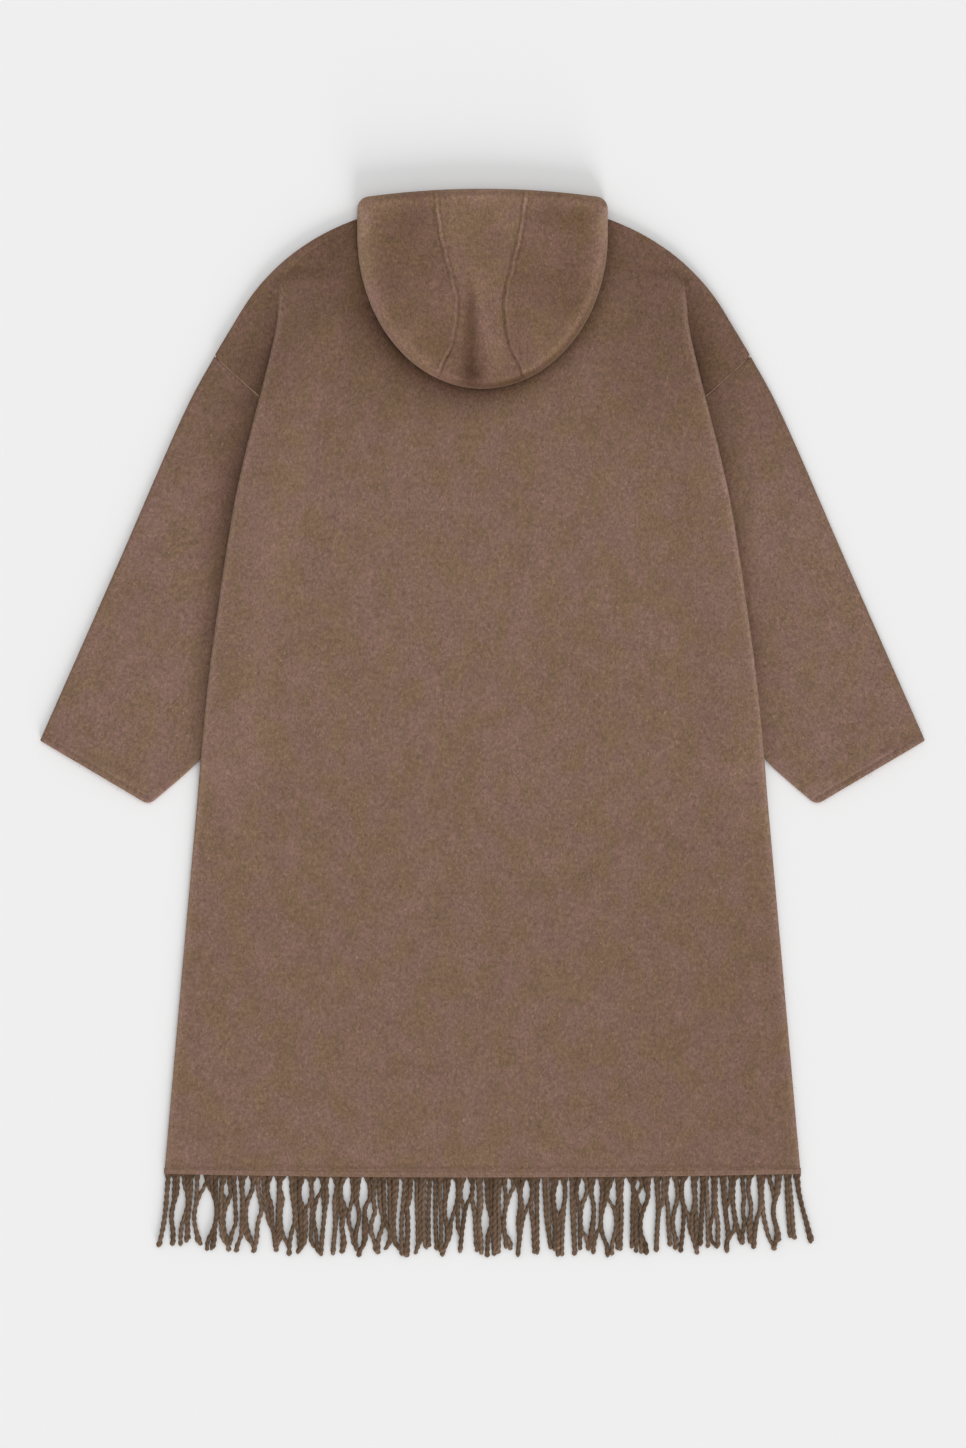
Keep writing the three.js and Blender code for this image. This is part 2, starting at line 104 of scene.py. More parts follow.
def column(table, at, which=1):
    """Reads a column of a table at a key, along a monotone curve between its rows."""
    rows = np.array(sorted(table), float)
    x, y = rows[:, 0], rows[:, which]
    at = np.clip(np.asarray(at, float), x[0], x[-1])
    slope = np.diff(y) / np.diff(x)
    tangent = np.concatenate([slope[:1], np.zeros(len(x) - 2), slope[-1:]])
    a, b = slope[:-1], slope[1:]
    same = a * b > 0
    tangent[1:-1] = np.where(same, 2 * a * b / np.where(same, a + b, 1), 0)
    i = np.clip(np.searchsorted(x, at, side="right") - 1, 0, len(x) - 2)
    h = x[i + 1] - x[i]
    t = (at - x[i]) / h
    return (
        (2 * t**3 - 3 * t**2 + 1) * y[i]
        + (t**3 - 2 * t**2 + t) * h * tangent[i]
        + (3 * t**2 - 2 * t**3) * y[i + 1]
        + (t**3 - t**2) * h * tangent[i + 1]
    )


def spline(rows, shares):
    """Points at shares of the length of a smooth curve through rows."""
    p = np.array(rows, float)
    p = np.vstack([2 * p[0] - p[1], p, 2 * p[-1] - p[-2]])
    fine = []
    t = np.linspace(0, 1, 60, endpoint=False)[:, None]
    for p0, p1, p2, p3 in zip(p, p[1:], p[2:], p[3:]):
        d0, d1, d2 = (np.linalg.norm(b - a) ** 0.5 for a, b in ((p0, p1), (p1, p2), (p2, p3)))
        m1 = ((p1 - p0) / d0 - (p2 - p0) / (d0 + d1) + (p2 - p1) / d1) * d1
        m2 = ((p2 - p1) / d1 - (p3 - p1) / (d1 + d2) + (p3 - p2) / d2) * d1
        fine.append(
            p1 * (2 * t**3 - 3 * t**2 + 1)
            + m1 * (t**3 - 2 * t**2 + t)
            + p2 * (3 * t**2 - 2 * t**3)
            + m2 * (t**3 - t**2)
        )
    fine = np.vstack([*fine, p[-2:-1]])
    along = np.concatenate([[0], np.cumsum(np.linalg.norm(np.diff(fine, axis=0), axis=1))])
    return np.column_stack([np.interp(shares, along / along[-1], fine[:, k]) for k in (0, 1)])


def ripple(x, y, seed, size=90.0, count=14):
    """A soft uneven form of about unit height over the plan, with waves near a size in mm."""
    rng = np.random.default_rng(seed)
    out = np.zeros(np.broadcast(x, y).shape)
    for _ in range(count):
        angle, wave, phase = rng.uniform(0, math.pi), size * rng.uniform(0.7, 1.9), rng.uniform(0, 6.28)
        k = 2 * math.pi / wave
        out += np.sin(k * (math.cos(angle) * x + math.sin(angle) * y) + phase)
    return out / math.sqrt(count)


def unit(v):
    return v / np.maximum(np.linalg.norm(v, axis=-1, keepdims=True), 1e-9)


def side_x(y):
    return column(SIDE, y)


def hem_bow(x):
    return HEM_BOW * (1 - (x / HEM_HALF) ** 2)


def hem_y(x):
    return HEM_Y - hem_bow(x)


def hood_edge():
    """The hood's outline as a dense closed curve from the middle of its crown, the length
    along it, and its inward directions."""
    a = np.radians(np.linspace(0, 90, 500, endpoint=False))
    crown = np.column_stack([
        HOOD_HALF * np.sin(a), HOOD_BELOW - (HOOD_BELOW - HOOD_CROWN) * np.cos(a)
    ])
    y = np.linspace(HOOD_BELOW, HOOD_CORNER - HOOD_CORNER_R, 60, endpoint=False)
    side = np.column_stack([np.full(60, HOOD_HALF), y])
    a = np.radians(np.linspace(0, 90, 40, endpoint=False))
    corner = np.column_stack([
        HOOD_HALF - HOOD_CORNER_R * (1 - np.cos(a)), HOOD_CORNER - HOOD_CORNER_R * (1 - np.sin(a))
    ])
    reach = HOOD_HALF - HOOD_CORNER_R
    x = np.linspace(reach, 0, 240)
    top = np.column_stack([x, HOOD_TOP - (HOOD_TOP - HOOD_CORNER) * (x / reach) ** 2])
    right = np.vstack([crown, side, corner, top])
    loop = np.vstack([right, right[1:-1][::-1] * [-1, 1]])
    along = np.concatenate([[0], np.cumsum(np.linalg.norm(np.diff(loop, axis=0), axis=1))])
    total = along[-1] + np.linalg.norm(loop[0] - loop[-1])
    even = np.linspace(0, total, 1601)[:-1]
    closed = np.vstack([loop, loop[:1]])
    along = np.append(along, total)
    points = np.column_stack([np.interp(even, along, closed[:, k]) for k in (0, 1)])
    for _ in range(12):
        points = (np.roll(points, 1, 0) + 2 * points + np.roll(points, -1, 0)) / 4
    step = np.roll(points, -1, 0) - np.roll(points, 1, 0)
    step /= np.linalg.norm(step, axis=1, keepdims=True)
    return points, total, np.column_stack([-step[:, 1], step[:, 0]])


EDGE_POINTS, EDGE_LONG, EDGE_IN = hood_edge()


def hood_at(along, inset):
    """Points at lengths along the hood's outline, moved in from it."""
    place = np.asarray(along, float) / EDGE_LONG * len(EDGE_POINTS)
    i = np.floor(place).astype(int)
    f = (place - i)[:, None]
    i = i % len(EDGE_POINTS)
    j = (i + 1) % len(EDGE_POINTS)
    inward = EDGE_IN[i] * (1 - f) + EDGE_IN[j] * f
    return EDGE_POINTS[i] * (1 - f) + EDGE_POINTS[j] * f + inset * inward


def far_from_edge(x, y):
    """Distance from the hood's outline."""
    p = np.column_stack([np.ravel(x), np.ravel(y)])
    near = np.full(len(p), 1e9)
    for some in np.array_split(EDGE_POINTS[::4], 8):
        gap = np.hypot(p[:, :1] - some[:, 0], p[:, 1:] - some[:, 1])
        near = np.minimum(near, gap.min(axis=1))
    return near.reshape(np.shape(x))


def in_hood(x, y):
    """Whether plan points lie within the hood's outline."""
    round_part = (x / HOOD_HALF) ** 2 + ((y - HOOD_BELOW) / (HOOD_BELOW - HOOD_CROWN)) ** 2 < 1
    return (np.abs(x) < HOOD_HALF) & (y < HOOD_TOP) & (round_part | (y > HOOD_BELOW))


# Meshes --------------------


def put(name, points, faces, material, slot, nodes=(), tone=None):
    """Makes a smooth-shaded closed piece that rides on the coat. The tone holds painted light and
    shade, with some random lightness, at each point, where 1 is plain cloth: shade is a little redder."""
    data = bpy.data.meshes.new(name)
    data.from_pydata((np.asarray(points) * MM).tolist(), [], turned_out(points, faces))
    data.polygons.foreach_set("use_smooth", [True] * len(data.polygons))
    shade = np.ones(len(points)) if tone is None else np.clip(tone, 0.2, 1.6)
    colours = np.column_stack([shade**0.92, shade**1.07, shade**1.24, np.ones(len(points))])
    layer = data.color_attributes.new("tone", "FLOAT_COLOR", "POINT")
    layer.data.foreach_set("color", colours.ravel().astype(np.float32))
    piece = bpy.data.objects.new(name, data)
    bpy.context.collection.objects.link(piece)
    data.materials.append(material)
    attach(piece, "root")
    if nodes:
        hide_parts(*nodes)
    return piece


def quads(rows, columns, closed=False, offset=0):
    """The faces of a grid of points, closed on itself across its columns or not."""
    i = np.arange(rows * columns).reshape(rows, columns) + offset
    if closed:
        i = np.column_stack([i, i[:, 0]])
    return np.stack([i[:-1, :-1], i[1:, :-1], i[1:, 1:], i[:-1, 1:]], -1).reshape(-1, 4)


def tube_faces(count, sides, offset=0):
    """The faces of a tube of rings that is closed at both ends."""
    last = offset + (count - 1) * sides
    start = [offset + i for i in range(sides)]
    end = [last + i for i in reversed(range(sides))]
    return [*quads(count, sides, closed=True, offset=offset).tolist(), start, end]


def fan(faces):
    """The triangles of some faces, fanned from each one's first corner."""
    return np.array([(f[0], f[k], f[k + 1]) for f in faces for k in range(1, len(f) - 1)])


def welded(points, faces):
    """Merges equal points, and drops repeated corners and the faces that collapse."""
    _, first, inverse = np.unique(
        np.round(points / 0.004).astype(np.int64), axis=0, return_index=True, return_inverse=True
    )
    kept = []
    for face in inverse.reshape(-1)[faces].tolist():
        corners = [c for c, before in zip(face, face[-1:] + face[:-1]) if c != before]
        if len(set(corners)) == len(corners) >= 3:
            kept.append(corners)
    return points[first], kept


def normals_of(points, faces):
    tri = fan(faces)
    n = np.cross(points[tri[:, 1]] - points[tri[:, 0]], points[tri[:, 2]] - points[tri[:, 0]])
    out = np.zeros_like(points)
    for k in range(3):
        np.add.at(out, tri[:, k], n)
    return out / np.maximum(np.linalg.norm(out, axis=1, keepdims=True), 1e-12)


def turned_out(points, faces):
    """The faces of a closed mesh, turned so that they face out of it."""
    tri = fan(faces)
    a, b, c = (np.asarray(points)[tri[:, k]] for k in range(3))
    volume = (a * np.cross(b, c)).sum()
    return [list(reversed(f)) for f in faces] if volume < 0 else faces


def cloth_wall(grids, thick=CLOTH, bulge=0.5):
    """A closed wall round a middle surface of welded grids, with rounded edges."""
    points, faces = [], []
    for grid in grids:
        faces.append(quads(grid.shape[0], grid.shape[1], offset=sum(len(p) for p in points)))
        points.append(grid.reshape(-1, 3))
    points, faces = welded(np.vstack(points), np.vstack(faces))
    normal = normals_of(points, faces)
    single = {}
    for face in faces:
        for a, b in zip(face, face[1:] + face[:1]):
            if single.pop((b, a), None) is None:
                single[(a, b)] = True
    edges = np.array(list(single))
    out = np.zeros_like(points)
    step = points[edges[:, 1]] - points[edges[:, 0]]
    step /= np.maximum(np.linalg.norm(step, axis=1, keepdims=True), 1e-9)
    for k in (0, 1):
        np.add.at(out, edges[:, k], np.cross(step, normal[edges[:, k]]))
    out /= np.maximum(np.linalg.norm(out, axis=1, keepdims=True), 1e-9)
    n = len(points)
    rim = np.unique(edges)
    place = {v: 2 * n + i for i, v in enumerate(rim.tolist())}
    made = [points + normal * thick / 2, points - normal * thick / 2, points[rim] + out[rim] * bulge]
    for face in list(faces):
        faces.append([v + n for v in reversed(face)])
    for a, b in edges.tolist():
        faces.append([b, a, place[a], place[b]])
        faces.append([place[b], place[a], a + n, b + n])
    return np.vstack(made), faces


def tube_walls(outer, inner, lip=0.6):
    """A closed wall between two open-ended ring tubes, with rounded rims."""
    start, end = (outer[0] + inner[0]) / 2, (outer[-1] + inner[-1]) / 2
    start += lip * unit(outer[0] - outer[1])
    end += lip * unit(outer[-1] - outer[-2])
    rings = np.stack([*outer, end, *inner[::-1], start])
    count, wide = rings.shape[:2]
    i = np.arange(count * wide).reshape(count, wide)
    i = np.column_stack([i, i[:, 0]])
    i = np.vstack([i, i[:1]])
    faces = np.stack([i[:-1, :-1], i[1:, :-1], i[1:, 1:], i[:-1, 1:]], -1).reshape(-1, 4)
    return rings.reshape(-1, 3), faces.tolist()


# Materials --------------------


def srgb(r, g, b):
    def linear(v):
        v /= 255
        return v / 12.92 if v <= 0.04045 else ((v + 0.055) / 1.055) ** 2.4

    return (linear(r), linear(g), linear(b), 1.0)


class Nodes:
    """Short calls for the nodes of one material."""

    def __init__(self, name):
        self.material = bpy.data.materials.new(name)
        self.material.use_nodes = True
        self.tree = self.material.node_tree
        self.tree.nodes.clear()

    def add(self, kind, **values):
        node = self.tree.nodes.new(kind)
        for key, value in values.items():
            setattr(node, key, value)
        return node

    def link(self, a, b):
        self.tree.links.new(a, b)

    def feed(self, socket, value):
        """Links a socket to another one, or gives it a plain value."""
        if isinstance(value, bpy.types.NodeSocket):
            self.link(value, socket)
        else:
            socket.default_value = value

    def noise(self, scale, angle=0.0, detail=2.0, rough=0.5):
        """Noise over object coordinates that are turned about Z, then scaled."""
        coordinates = self.add("ShaderNodeTexCoord")
        turn = self.add("ShaderNodeMapping")
        turn.inputs["Rotation"].default_value = (0, 0, angle)
        stretch = self.add("ShaderNodeMapping")
        stretch.inputs["Scale"].default_value = scale
        node = self.add("ShaderNodeTexNoise")
        node.inputs["Scale"].default_value = 1.0
        node.inputs["Detail"].default_value = detail
        node.inputs["Roughness"].default_value = rough
        self.link(coordinates.outputs["Object"], turn.inputs["Vector"])
        self.link(turn.outputs["Vector"], stretch.inputs["Vector"])
        self.link(stretch.outputs["Vector"], node.inputs["Vector"])
        return node.outputs["Fac"]

    def span(self, value, low, high, to_low=0.0, to_high=1.0):
        """A value's stretch from low to high, mapped onto another one."""
        node = self.add("ShaderNodeMapRange", clamp=True)
        ends = {"From Min": low, "From Max": high, "To Min": to_low, "To Max": to_high}
        for key, number in ends.items():
            node.inputs[key].default_value = number
        self.link(value, node.inputs["Value"])
        return node.outputs["Result"]

    def mix(self, share, a, b, blend="MIX"):
        node = self.add("ShaderNodeMix", data_type="RGBA", blend_type=blend)
        for index, value in ((0, share), (6, a), (7, b)):
            self.feed(node.inputs[index], value)
        return node.outputs[2]

    def shaded(self, colour, noise, low, high, darkest, lightest, share=1.0):
        """The colour made darker and lighter by a noise."""
        return self.mix(share, colour, self.span(noise, low, high, darkest, lightest), "MULTIPLY")

    def flecked(self, colour, scale, angle, start, end, share, tint):
        """The colour with small flecks of a tint where a noise is above start."""
        return self.mix(self.span(self.noise(scale, angle), start, end, 0.0, share), colour, tint)

    def toned(self, colour):
        """The colour times the mesh's own tone, which holds painted light and shade."""
        own = self.add("ShaderNodeAttribute", attribute_name="tone")
        return self.mix(1.0, colour, own.outputs["Color"], "MULTIPLY")

    def total(self, *parts):
        """The sum of some (value, weight) pairs."""
        sum_so_far = 0.0
        for value, weight in parts:
            node = self.add("ShaderNodeMath", operation="MULTIPLY_ADD")
            for socket, number in zip(node.inputs, (value, weight, sum_so_far)):
                self.feed(socket, number)
            sum_so_far = node.outputs[0]
        return sum_so_far

    def cloth(self, colour, height, depth, sheen):
        """A matt napped surface with a fine relief."""
        bump = self.add("ShaderNodeBump")
        bump.inputs["Strength"].default_value = 0.5
        bump.inputs["Distance"].default_value = depth
        self.link(height, bump.inputs["Height"])
        shader = self.add("ShaderNodeBsdfPrincipled")
        shader.inputs["Roughness"].default_value = 0.95
        shader.inputs["Specular IOR Level"].default_value = 0.1
        shader.inputs["Sheen Weight"].default_value = sheen
        shader.inputs["Sheen Roughness"].default_value = 0.55
        shader.inputs["Sheen Tint"].default_value = (0.72, 0.62, 0.55, 1)
        self.link(colour, shader.inputs["Base Color"])
        self.link(bump.outputs["Normal"], shader.inputs["Normal"])
        out = self.add("ShaderNodeOutputMaterial")
        self.link(shader.outputs["BSDF"], out.inputs["Surface"])
        return self.material


def wool(name, tone=(127, 101, 85), angle=0.0, nap=1.0, fleck=0.5):
    """Brushed melange wool: faint olive and rose patches, short fibres, light and dark flecks."""
    nodes = Nodes(name)
    r, g, b = tone
    olive, rose = srgb(r * 0.985, g * 0.988, b * 0.93), srgb(r * 1.022, g, b * 1.05)
    pale, dark = srgb(r * 1.4, g * 1.46, b * 1.48), srgb(r * 0.6, g * 0.58, b * 0.57)
    patch = nodes.noise((34, 26, 30), angle, 4.0, 0.62)
    cloud = nodes.noise((40, 40, 40), angle, 3.0, 0.62)
    spots = nodes.noise((210, 210, 210), angle, 3.0, 0.65)
    streak = nodes.noise((470, 260, 400), angle, 3.0, 0.6)
    hair = nodes.noise((1300, 620, 1000), angle + 0.3, 3.0, 0.7)
    colour = nodes.mix(nodes.span(patch, 0.4, 0.6), olive, rose)
    colour = nodes.shaded(colour, cloud, 0.3, 0.7, 0.94, 1.06)
    colour = nodes.shaded(colour, spots, 0.3, 0.7, 0.86, 1.14)
    colour = nodes.shaded(colour, streak, 0.3, 0.7, 0.78, 1.22, nap)
    colour = nodes.shaded(colour, hair, 0.28, 0.72, 0.74, 1.26, nap)
    colour = nodes.flecked(colour, (430, 300, 400), angle - 0.5, 0.67, 0.74, fleck, pale)
    colour = nodes.flecked(colour, (400, 290, 300), angle + 0.35, 0.67, 0.75, fleck, dark)
    height = nodes.total((streak, 0.7), (hair, 0.5), (spots, 0.9))
    return nodes.cloth(nodes.toned(colour), height, 0.0009, 0.2)


def yarn(name):
    """Twisted yarn: grey-brown with dark and light flecks."""
    nodes = Nodes(name)
    fleck = nodes.noise((520, 230, 520), 0.4, 3.0, 0.6)
    patch = nodes.noise((90, 60, 90))
    colour = nodes.mix(nodes.span(patch, 0.35, 0.65), srgb(106, 87, 69), srgb(119, 96, 80))
    colour = nodes.shaded(colour, fleck, 0.25, 0.75, 0.66, 1.36)
    colour = nodes.flecked(colour, (430, 260, 430), -0.5, 0.66, 0.74, 0.6, srgb(164, 138, 118))
    return nodes.cloth(nodes.toned(colour), fleck, 0.0008, 0.12)


body_wool = wool("wool_body")
hood_wool = wool("wool_hood", (126, 99, 81))
sleeve_wools = {
    side: wool(f"wool_sleeve_{name}", (127, 101, 86), side * -0.42) for side, name in SIDES
}
under_wool = wool("wool_inside", (120, 96, 81))
band_wool = wool("wool_band", (131, 105, 89), 0.0, 0.9, 0.3)
fringe_yarn = yarn("yarn_fringe")


# Back --------------------


LIP_OUT = CLOTH / 2  # the lip of a side fold ends this far inside the fold's edge
LIP_RADIUS = 3.6
CREST = LIP_OUT + LIP_RADIUS  # and its crest lies this far inside
# Columns of points measured in from the crest
IN_FROM_CREST = [
    0.4, 1.2, 2.2, 3.6, 5.5, 8, 11, 15, 20, 26, 32, 38, 44, 50, 56, 62, 68, 74, 80, 88, 97, 107,
]
# Shares of the way across a wing, close together at the fold and at the seam
ACROSS_WING = [0, 0.02, 0.05, 0.1, 0.17, 0.26, 0.36, 0.47, 0.58, 0.69, 0.8, 0.89, 0.95, 0.98, 1]
UNDER_HOOD_SHADE = 0.45  # painted shade: tone of the back where the hood hides it


def body_relief(x, y):
    """Soft forms of the laid cloth. They rise from the layer below and never sink into it,
    and the cloth is flat under the hood and at its hem."""
    swell = 1.3 * bell(y - crease_y(x), 20) * bell(np.abs(x) - 200, 34)
    form = 0.4 + 0.42 * ripple(x, y, 11, 150) + 0.2 * ripple(x, y, 12, 60)
    form = form + swell - 1.9 * crease(x, y)
    form = 0.3 * np.log1p(np.exp(form / 0.3))
    from_hood = np.hypot(x / HOOD_HALF, np.minimum(y - HOOD_BELOW, 0) / (HOOD_BELOW - HOOD_CROWN))
    return form * smooth(-497, -470, y) * smooth(0.95, 1.12, from_hood)


def crease_y(x):
    return 495.5 + 8.5 * smooth(228, 208, np.abs(x))


def crease(x, y):
    """Depth, up to 1, of the short soft crease that runs in from the top of each side fold."""
    out = np.abs(x)
    return bell(y - crease_y(x), 6) * smooth(162, 200, out) * (1 - smooth(226, 236, out))


def back_rows():
    """Heights of the back's rows of points, close together at the neck and at the hem."""
    top = [575, 574.2, 572.5, 570, 566, 562]
    return np.array([*top, *np.arange(557.5, -488, -5.0), -490, -493, -495.6, -496.7, -497.2])


def lip_rows(edge, z, foot, side):
    """(x, z) of the round lip of a side fold, from its crest to its foot."""
    radius = np.clip(z - foot, 0.05, LIP_RADIUS)
    reach = edge - LIP_OUT
    lip = []
    for a in np.radians([12, 28, 44, 60, 74, 86]):
        lip.append((side * (reach - radius * (1 - math.sin(a))), z - radius * (1 - math.cos(a))))
    rest = lip[-1][1]
    for share in (0.5, 1.0):
        lip.append((side * reach, rest + share * (np.minimum(foot, rest) - rest)))
    return lip


def back_grid(side):
    """One half of the back, from its side fold in to the centre."""
    rows = back_rows()
    edge, rise, foot = side_x(rows), column(FOLD, rows, 1), column(FOLD, rows, 2)
    wide = np.clip((edge - 20) / 160, 0.3, 1)
    insides = [(CREST + d) * wide for d in IN_FROM_CREST]
    inner = edge - insides[-1]
    for share in np.linspace(0, 1, 26)[1:]:
        insides.append(edge - inner * (1 - share))
    lines = lip_rows(edge, LAID + rise, foot, side)[::-1]
    for inside in insides:
        x = side * (edge - inside)
        relief = body_relief(x, rows) * smooth(3, 16, inside) * np.where(rows > 560, 0.3, 1)
        lines.append((x, LAID + rise * (1 - smooth(*RAMP, inside)) + relief))
    hem_share = smooth(-420, -495, rows)
    grid = np.stack([np.column_stack([x, rows - hem_bow(x) * hem_share, z]) for x, z in lines], 1)
    return grid if side < 0 else grid[:, ::-1]


def wing_grid(side):
    """The back outside its side fold, as far as the shoulder's edge or the armhole seam."""
    rows = back_rows()
    rows = np.append(rows[rows > ARMHOLE_FOLD[1]], ARMHOLE_FOLD[1])
    start = side_x(rows) - LIP_OUT
    width = np.maximum(wing_x(rows) - 0.5 - start, 0)
    lift = column(FOLD, rows, 2) - LAID
    lines = []
    for t in ACROSS_WING:
        fall = t * np.minimum(1, width / 8)
        x = side * (start + t * width)
        relief = body_relief(x, rows) * smooth(0, 0.15, fall)
        lines.append(np.column_stack([x, rows, LAID + lift * (1 - fall) ** 2 + relief]))
    grid = np.stack(lines, 1)
    return grid if side > 0 else grid[:, ::-1]


def wing_x(y):
    """Distance from the middle to the shoulder's edge or the armhole seam."""
    (outer_x, outer_y), (fold_x, fold_y) = ARMHOLE_OUTER, ARMHOLE_FOLD
    shoulder = column([(b, a) for a, b in SHOULDER], y)
    seam = fold_x + (y - fold_y) / (outer_y - fold_y) * (outer_x - fold_x)
    return np.where(y >= outer_y, shoulder, seam)


def beside_fold(x, y):
    """A soft shade on the cloth just outside the body's side fold."""
    out = np.abs(x) - side_x(y)
    depth = np.where(x < 0, column(FOLD_SHADE, y, 1), column(FOLD_SHADE, y, 3))
    reach = np.where(x < 0, column(FOLD_SHADE, y, 2), column(FOLD_SHADE, y, 4))
    return np.where(out > -1.3, depth * np.exp(-((np.maximum(out, 0) / reach) ** 1.5)), 0)


def beside_hood(x, y):
    """The soft shade on the coat round the hood's edge, wider on the left."""
    turn = np.clip(0.5 - x / 190, 0, 1)
    shade = (0.58 + 0.21 * turn) * np.exp(-((far_from_edge(x, y) / (10 + 13 * turn)) ** 1.05))
    return shade * (1 - (0.15 + 0.4 * turn) * smooth(455, 525, y))


def back_tone_and_painted_light(points):
    """Painted light and shade on the back: a painted highlight on the folds' crests, painted shade on
    the cloth beside the folds, at the shoulders, in the creases and under and round the hood's edge; a
    little darker in the middle and low down, and a dark line just above the hem's band."""
    x, y, z = points.T
    out = np.abs(x)
    inside = side_x(y) - out
    wing = (inside < 1.3) & (z < LAID + column(FOLD, y, 1) - 1.6) | (inside < 0)
    # painted highlight on each fold's crest and rolled edge; painted shade on the wing outside it
    crest = (0.16 + 0.08 * (x > 0)) * bell(inside - 2.5, 2)
    roll = (0.14 * (1 - smooth(1, 12, inside)) + crest) * smooth(492, 476, y)
    painted_wing_shade = (0.04 + 0.05 * smooth(480, 380, y)) * smooth(504, 484, y)
    tone = 1.02 + np.where(wing, -beside_fold(x, y) - painted_wing_shade, roll)
    # painted shade at the shoulders and in the creases; a little darker in the middle and towards the
    # hem, more on the right
    tone = tone - (0.2 - 0.02 * (x < 0)) * smooth(230, 430, y) * smooth(40, 190, out)
    tone = tone - (0.1 + 0.08 * (x < 0)) * bell(y - 528, 42) * bell(out - 172, 32)
    tone = tone - 0.045 * bell(np.hypot(x, y - 320), 90) - 0.22 * crease(x, y - 1.5)
    tone = tone - (0.035 + 0.05 * smooth(60, 300, x)) * smooth(50, -350, y)
    # painted shade where the hood hides the back and round the hood's edge, and a dark line just above
    # the hem's band
    tone = np.where(in_hood(x, y), UNDER_HOOD_SHADE, tone * (1 - beside_hood(x, y)))
    return tone - 0.15 * bell(y - HEM_Y - STRIP - 1.2, 1.7)


back_points, back_faces = cloth_wall([back_grid(-1), back_grid(1), wing_grid(-1), wing_grid(1)])
back = put(
    "back_cloth", back_points, back_faces, body_wool, "body_wool", ["back"], back_tone_and_painted_light(back_points)
)


# Fronts --------------------


def front_grid(side):
    """A front from its centre edge and neckline out to the shoulder, armhole and side."""
    rows = np.array([-500.8, -499.5, -497, *np.arange(-490, 570, 12.0), 572, 575, 576.2])
    outer = np.where(rows > ARMHOLE_FOLD[1], wing_x(rows), side_x(rows)) - 0.8
    over = np.clip((NECK_Y - rows) / NECK_DROP, 0, 1)
    neck = NECK_HALF * np.sqrt(1 - over**2)
    inner = np.where(rows > NECK_Y - NECK_DROP, np.minimum(neck, outer - 0.5), GAP / 2)
    raised = 3.6 * smooth(-480, -500, rows)
    lines = []
    for t in [0, 0.004, 0.02, *np.linspace(0.05, 0.95, 26), 0.98, 0.996, 1]:
        x = inner + t * (outer - inner)
        y = rows - hem_bow(x) * smooth(-420, -495, rows) + raised
        lines.append(np.column_stack([side * x, y, np.full(len(rows), CLOTH / 2)]))
    grid = np.stack(lines, 1)
    return grid[::-1] if side > 0 else grid


for side, name in SIDES:
    points, faces = cloth_wall([front_grid(side)], bulge=0.4)
    put(f"front_cloth_{name}", points, faces, body_wool, "body_wool", [f"front_{name}"])


# Sleeves --------------------


# Shares of a sleeve's length, close together at its armhole and at its stitched cuff
ALONG_SLEEVE = np.array([
    0.0015, 0.006, 0.014, *np.linspace(0.03, 0.97, 74),
    0.978, 0.9815, 0.984, 0.9865, 0.99, 0.995, 0.9985, 1,
])
# Distances of points from a sleeve's folded edges
FROM_SLEEVE_EDGE = np.array([0, 0.1, 0.35, 0.8, 1.5, 2.4, 3.6, 5.5, 8.5, 13])
CUFF_LINE = 463.5  # how far down the overarm the cuff's stitched line shows


def fold_share(over, under):
    """Share of the way from overarm to underarm at which a sleeve passes under the fold."""
    low, high = 0.0, 1.0
    for _ in range(18):
        middle = (low + high) / 2
        x, y = over + (under - over) * middle
        low, high = (middle, high) if x > side_x(y) else (low, middle)
    return (low + high) / 2


def sleeve_ring(side, inset, t, over, under):
    """A ring of a sleeve at a share of its length. Under the body's fold the sleeve lies on
    the front, one layer of cloth higher."""
    to_cuff = (1 - t) * SLEEVE_LONG
    corner = 1 - math.sqrt(1 - (1 - np.clip(to_cuff / 9, 0, 1)) ** 2)
    under = under + unit(over - under) * 6 * corner
    width = np.linalg.norm(under - over)
    middle = np.linspace(20, width - 20, 26)
    across = np.concatenate([FROM_SLEEVE_EDGE, middle, width - FROM_SLEEVE_EDGE[::-1]])
    across = np.clip(across, 0, width)
    u = across / width
    place = over + (under - over) * ((inset + u * (width - 2 * inset)) / width)[:, None]
    if t <= SLEEVE_LEAVES:
        fold = fold_share(over, under)
        ground = (CLOTH + GAP) * smooth(fold - 15 / width, fold - 3 / width, u)
        crest = np.minimum(1, u / (fold - 3 / width))
    else:
        settle = smooth(SLEEVE_LEAVES + 0.04, SLEEVE_LEAVES, t)
        ground = (CLOTH + GAP) * smooth(0.9, 1.0, u) * settle
        crest = u
    puff = SLEEVE_PUFF * np.sin(math.pi * crest) * (0.35 + 0.65 * smooth(0.0, 0.06, t))
    full = 2 * CLOTH + GAP + puff
    from_edge = np.minimum(across, width - across)
    round_off = np.sqrt(np.clip(1 - (1 - np.clip(from_edge / 3.0, 0, 1)) ** 2, 0, 1))
    centre, half = ground + full / 2, (full / 2 - inset) * round_off
    x, y, top = side * place[:, 0], place[:, 1], centre + half
    if not inset:
        calm = smooth(0.0, 0.05, t) * smooth(3, 18, from_edge)
        groove = -0.75 * bell(to_cuff - 7.2, 1.1) + 0.25 * bell(to_cuff - 3.8, 2.4)
        top = top + 0.35 * calm * ripple(x, y, 31 + side, 95) + groove * round_off
    upper, lower = np.column_stack([x, y, top]), np.column_stack([x, y, centre - half])
    return np.vstack([upper, lower[1:-1][::-1]])


def sleeve_rings(side, inset):
    """Rings of a sleeve's outer or inner face, from its armhole to its cuff."""
    edges = zip(ALONG_SLEEVE, spline(OVERARM, ALONG_SLEEVE), spline(UNDERARM, ALONG_SLEEVE))
    return np.stack([sleeve_ring(side, inset, t, over, under) for t, over, under in edges])


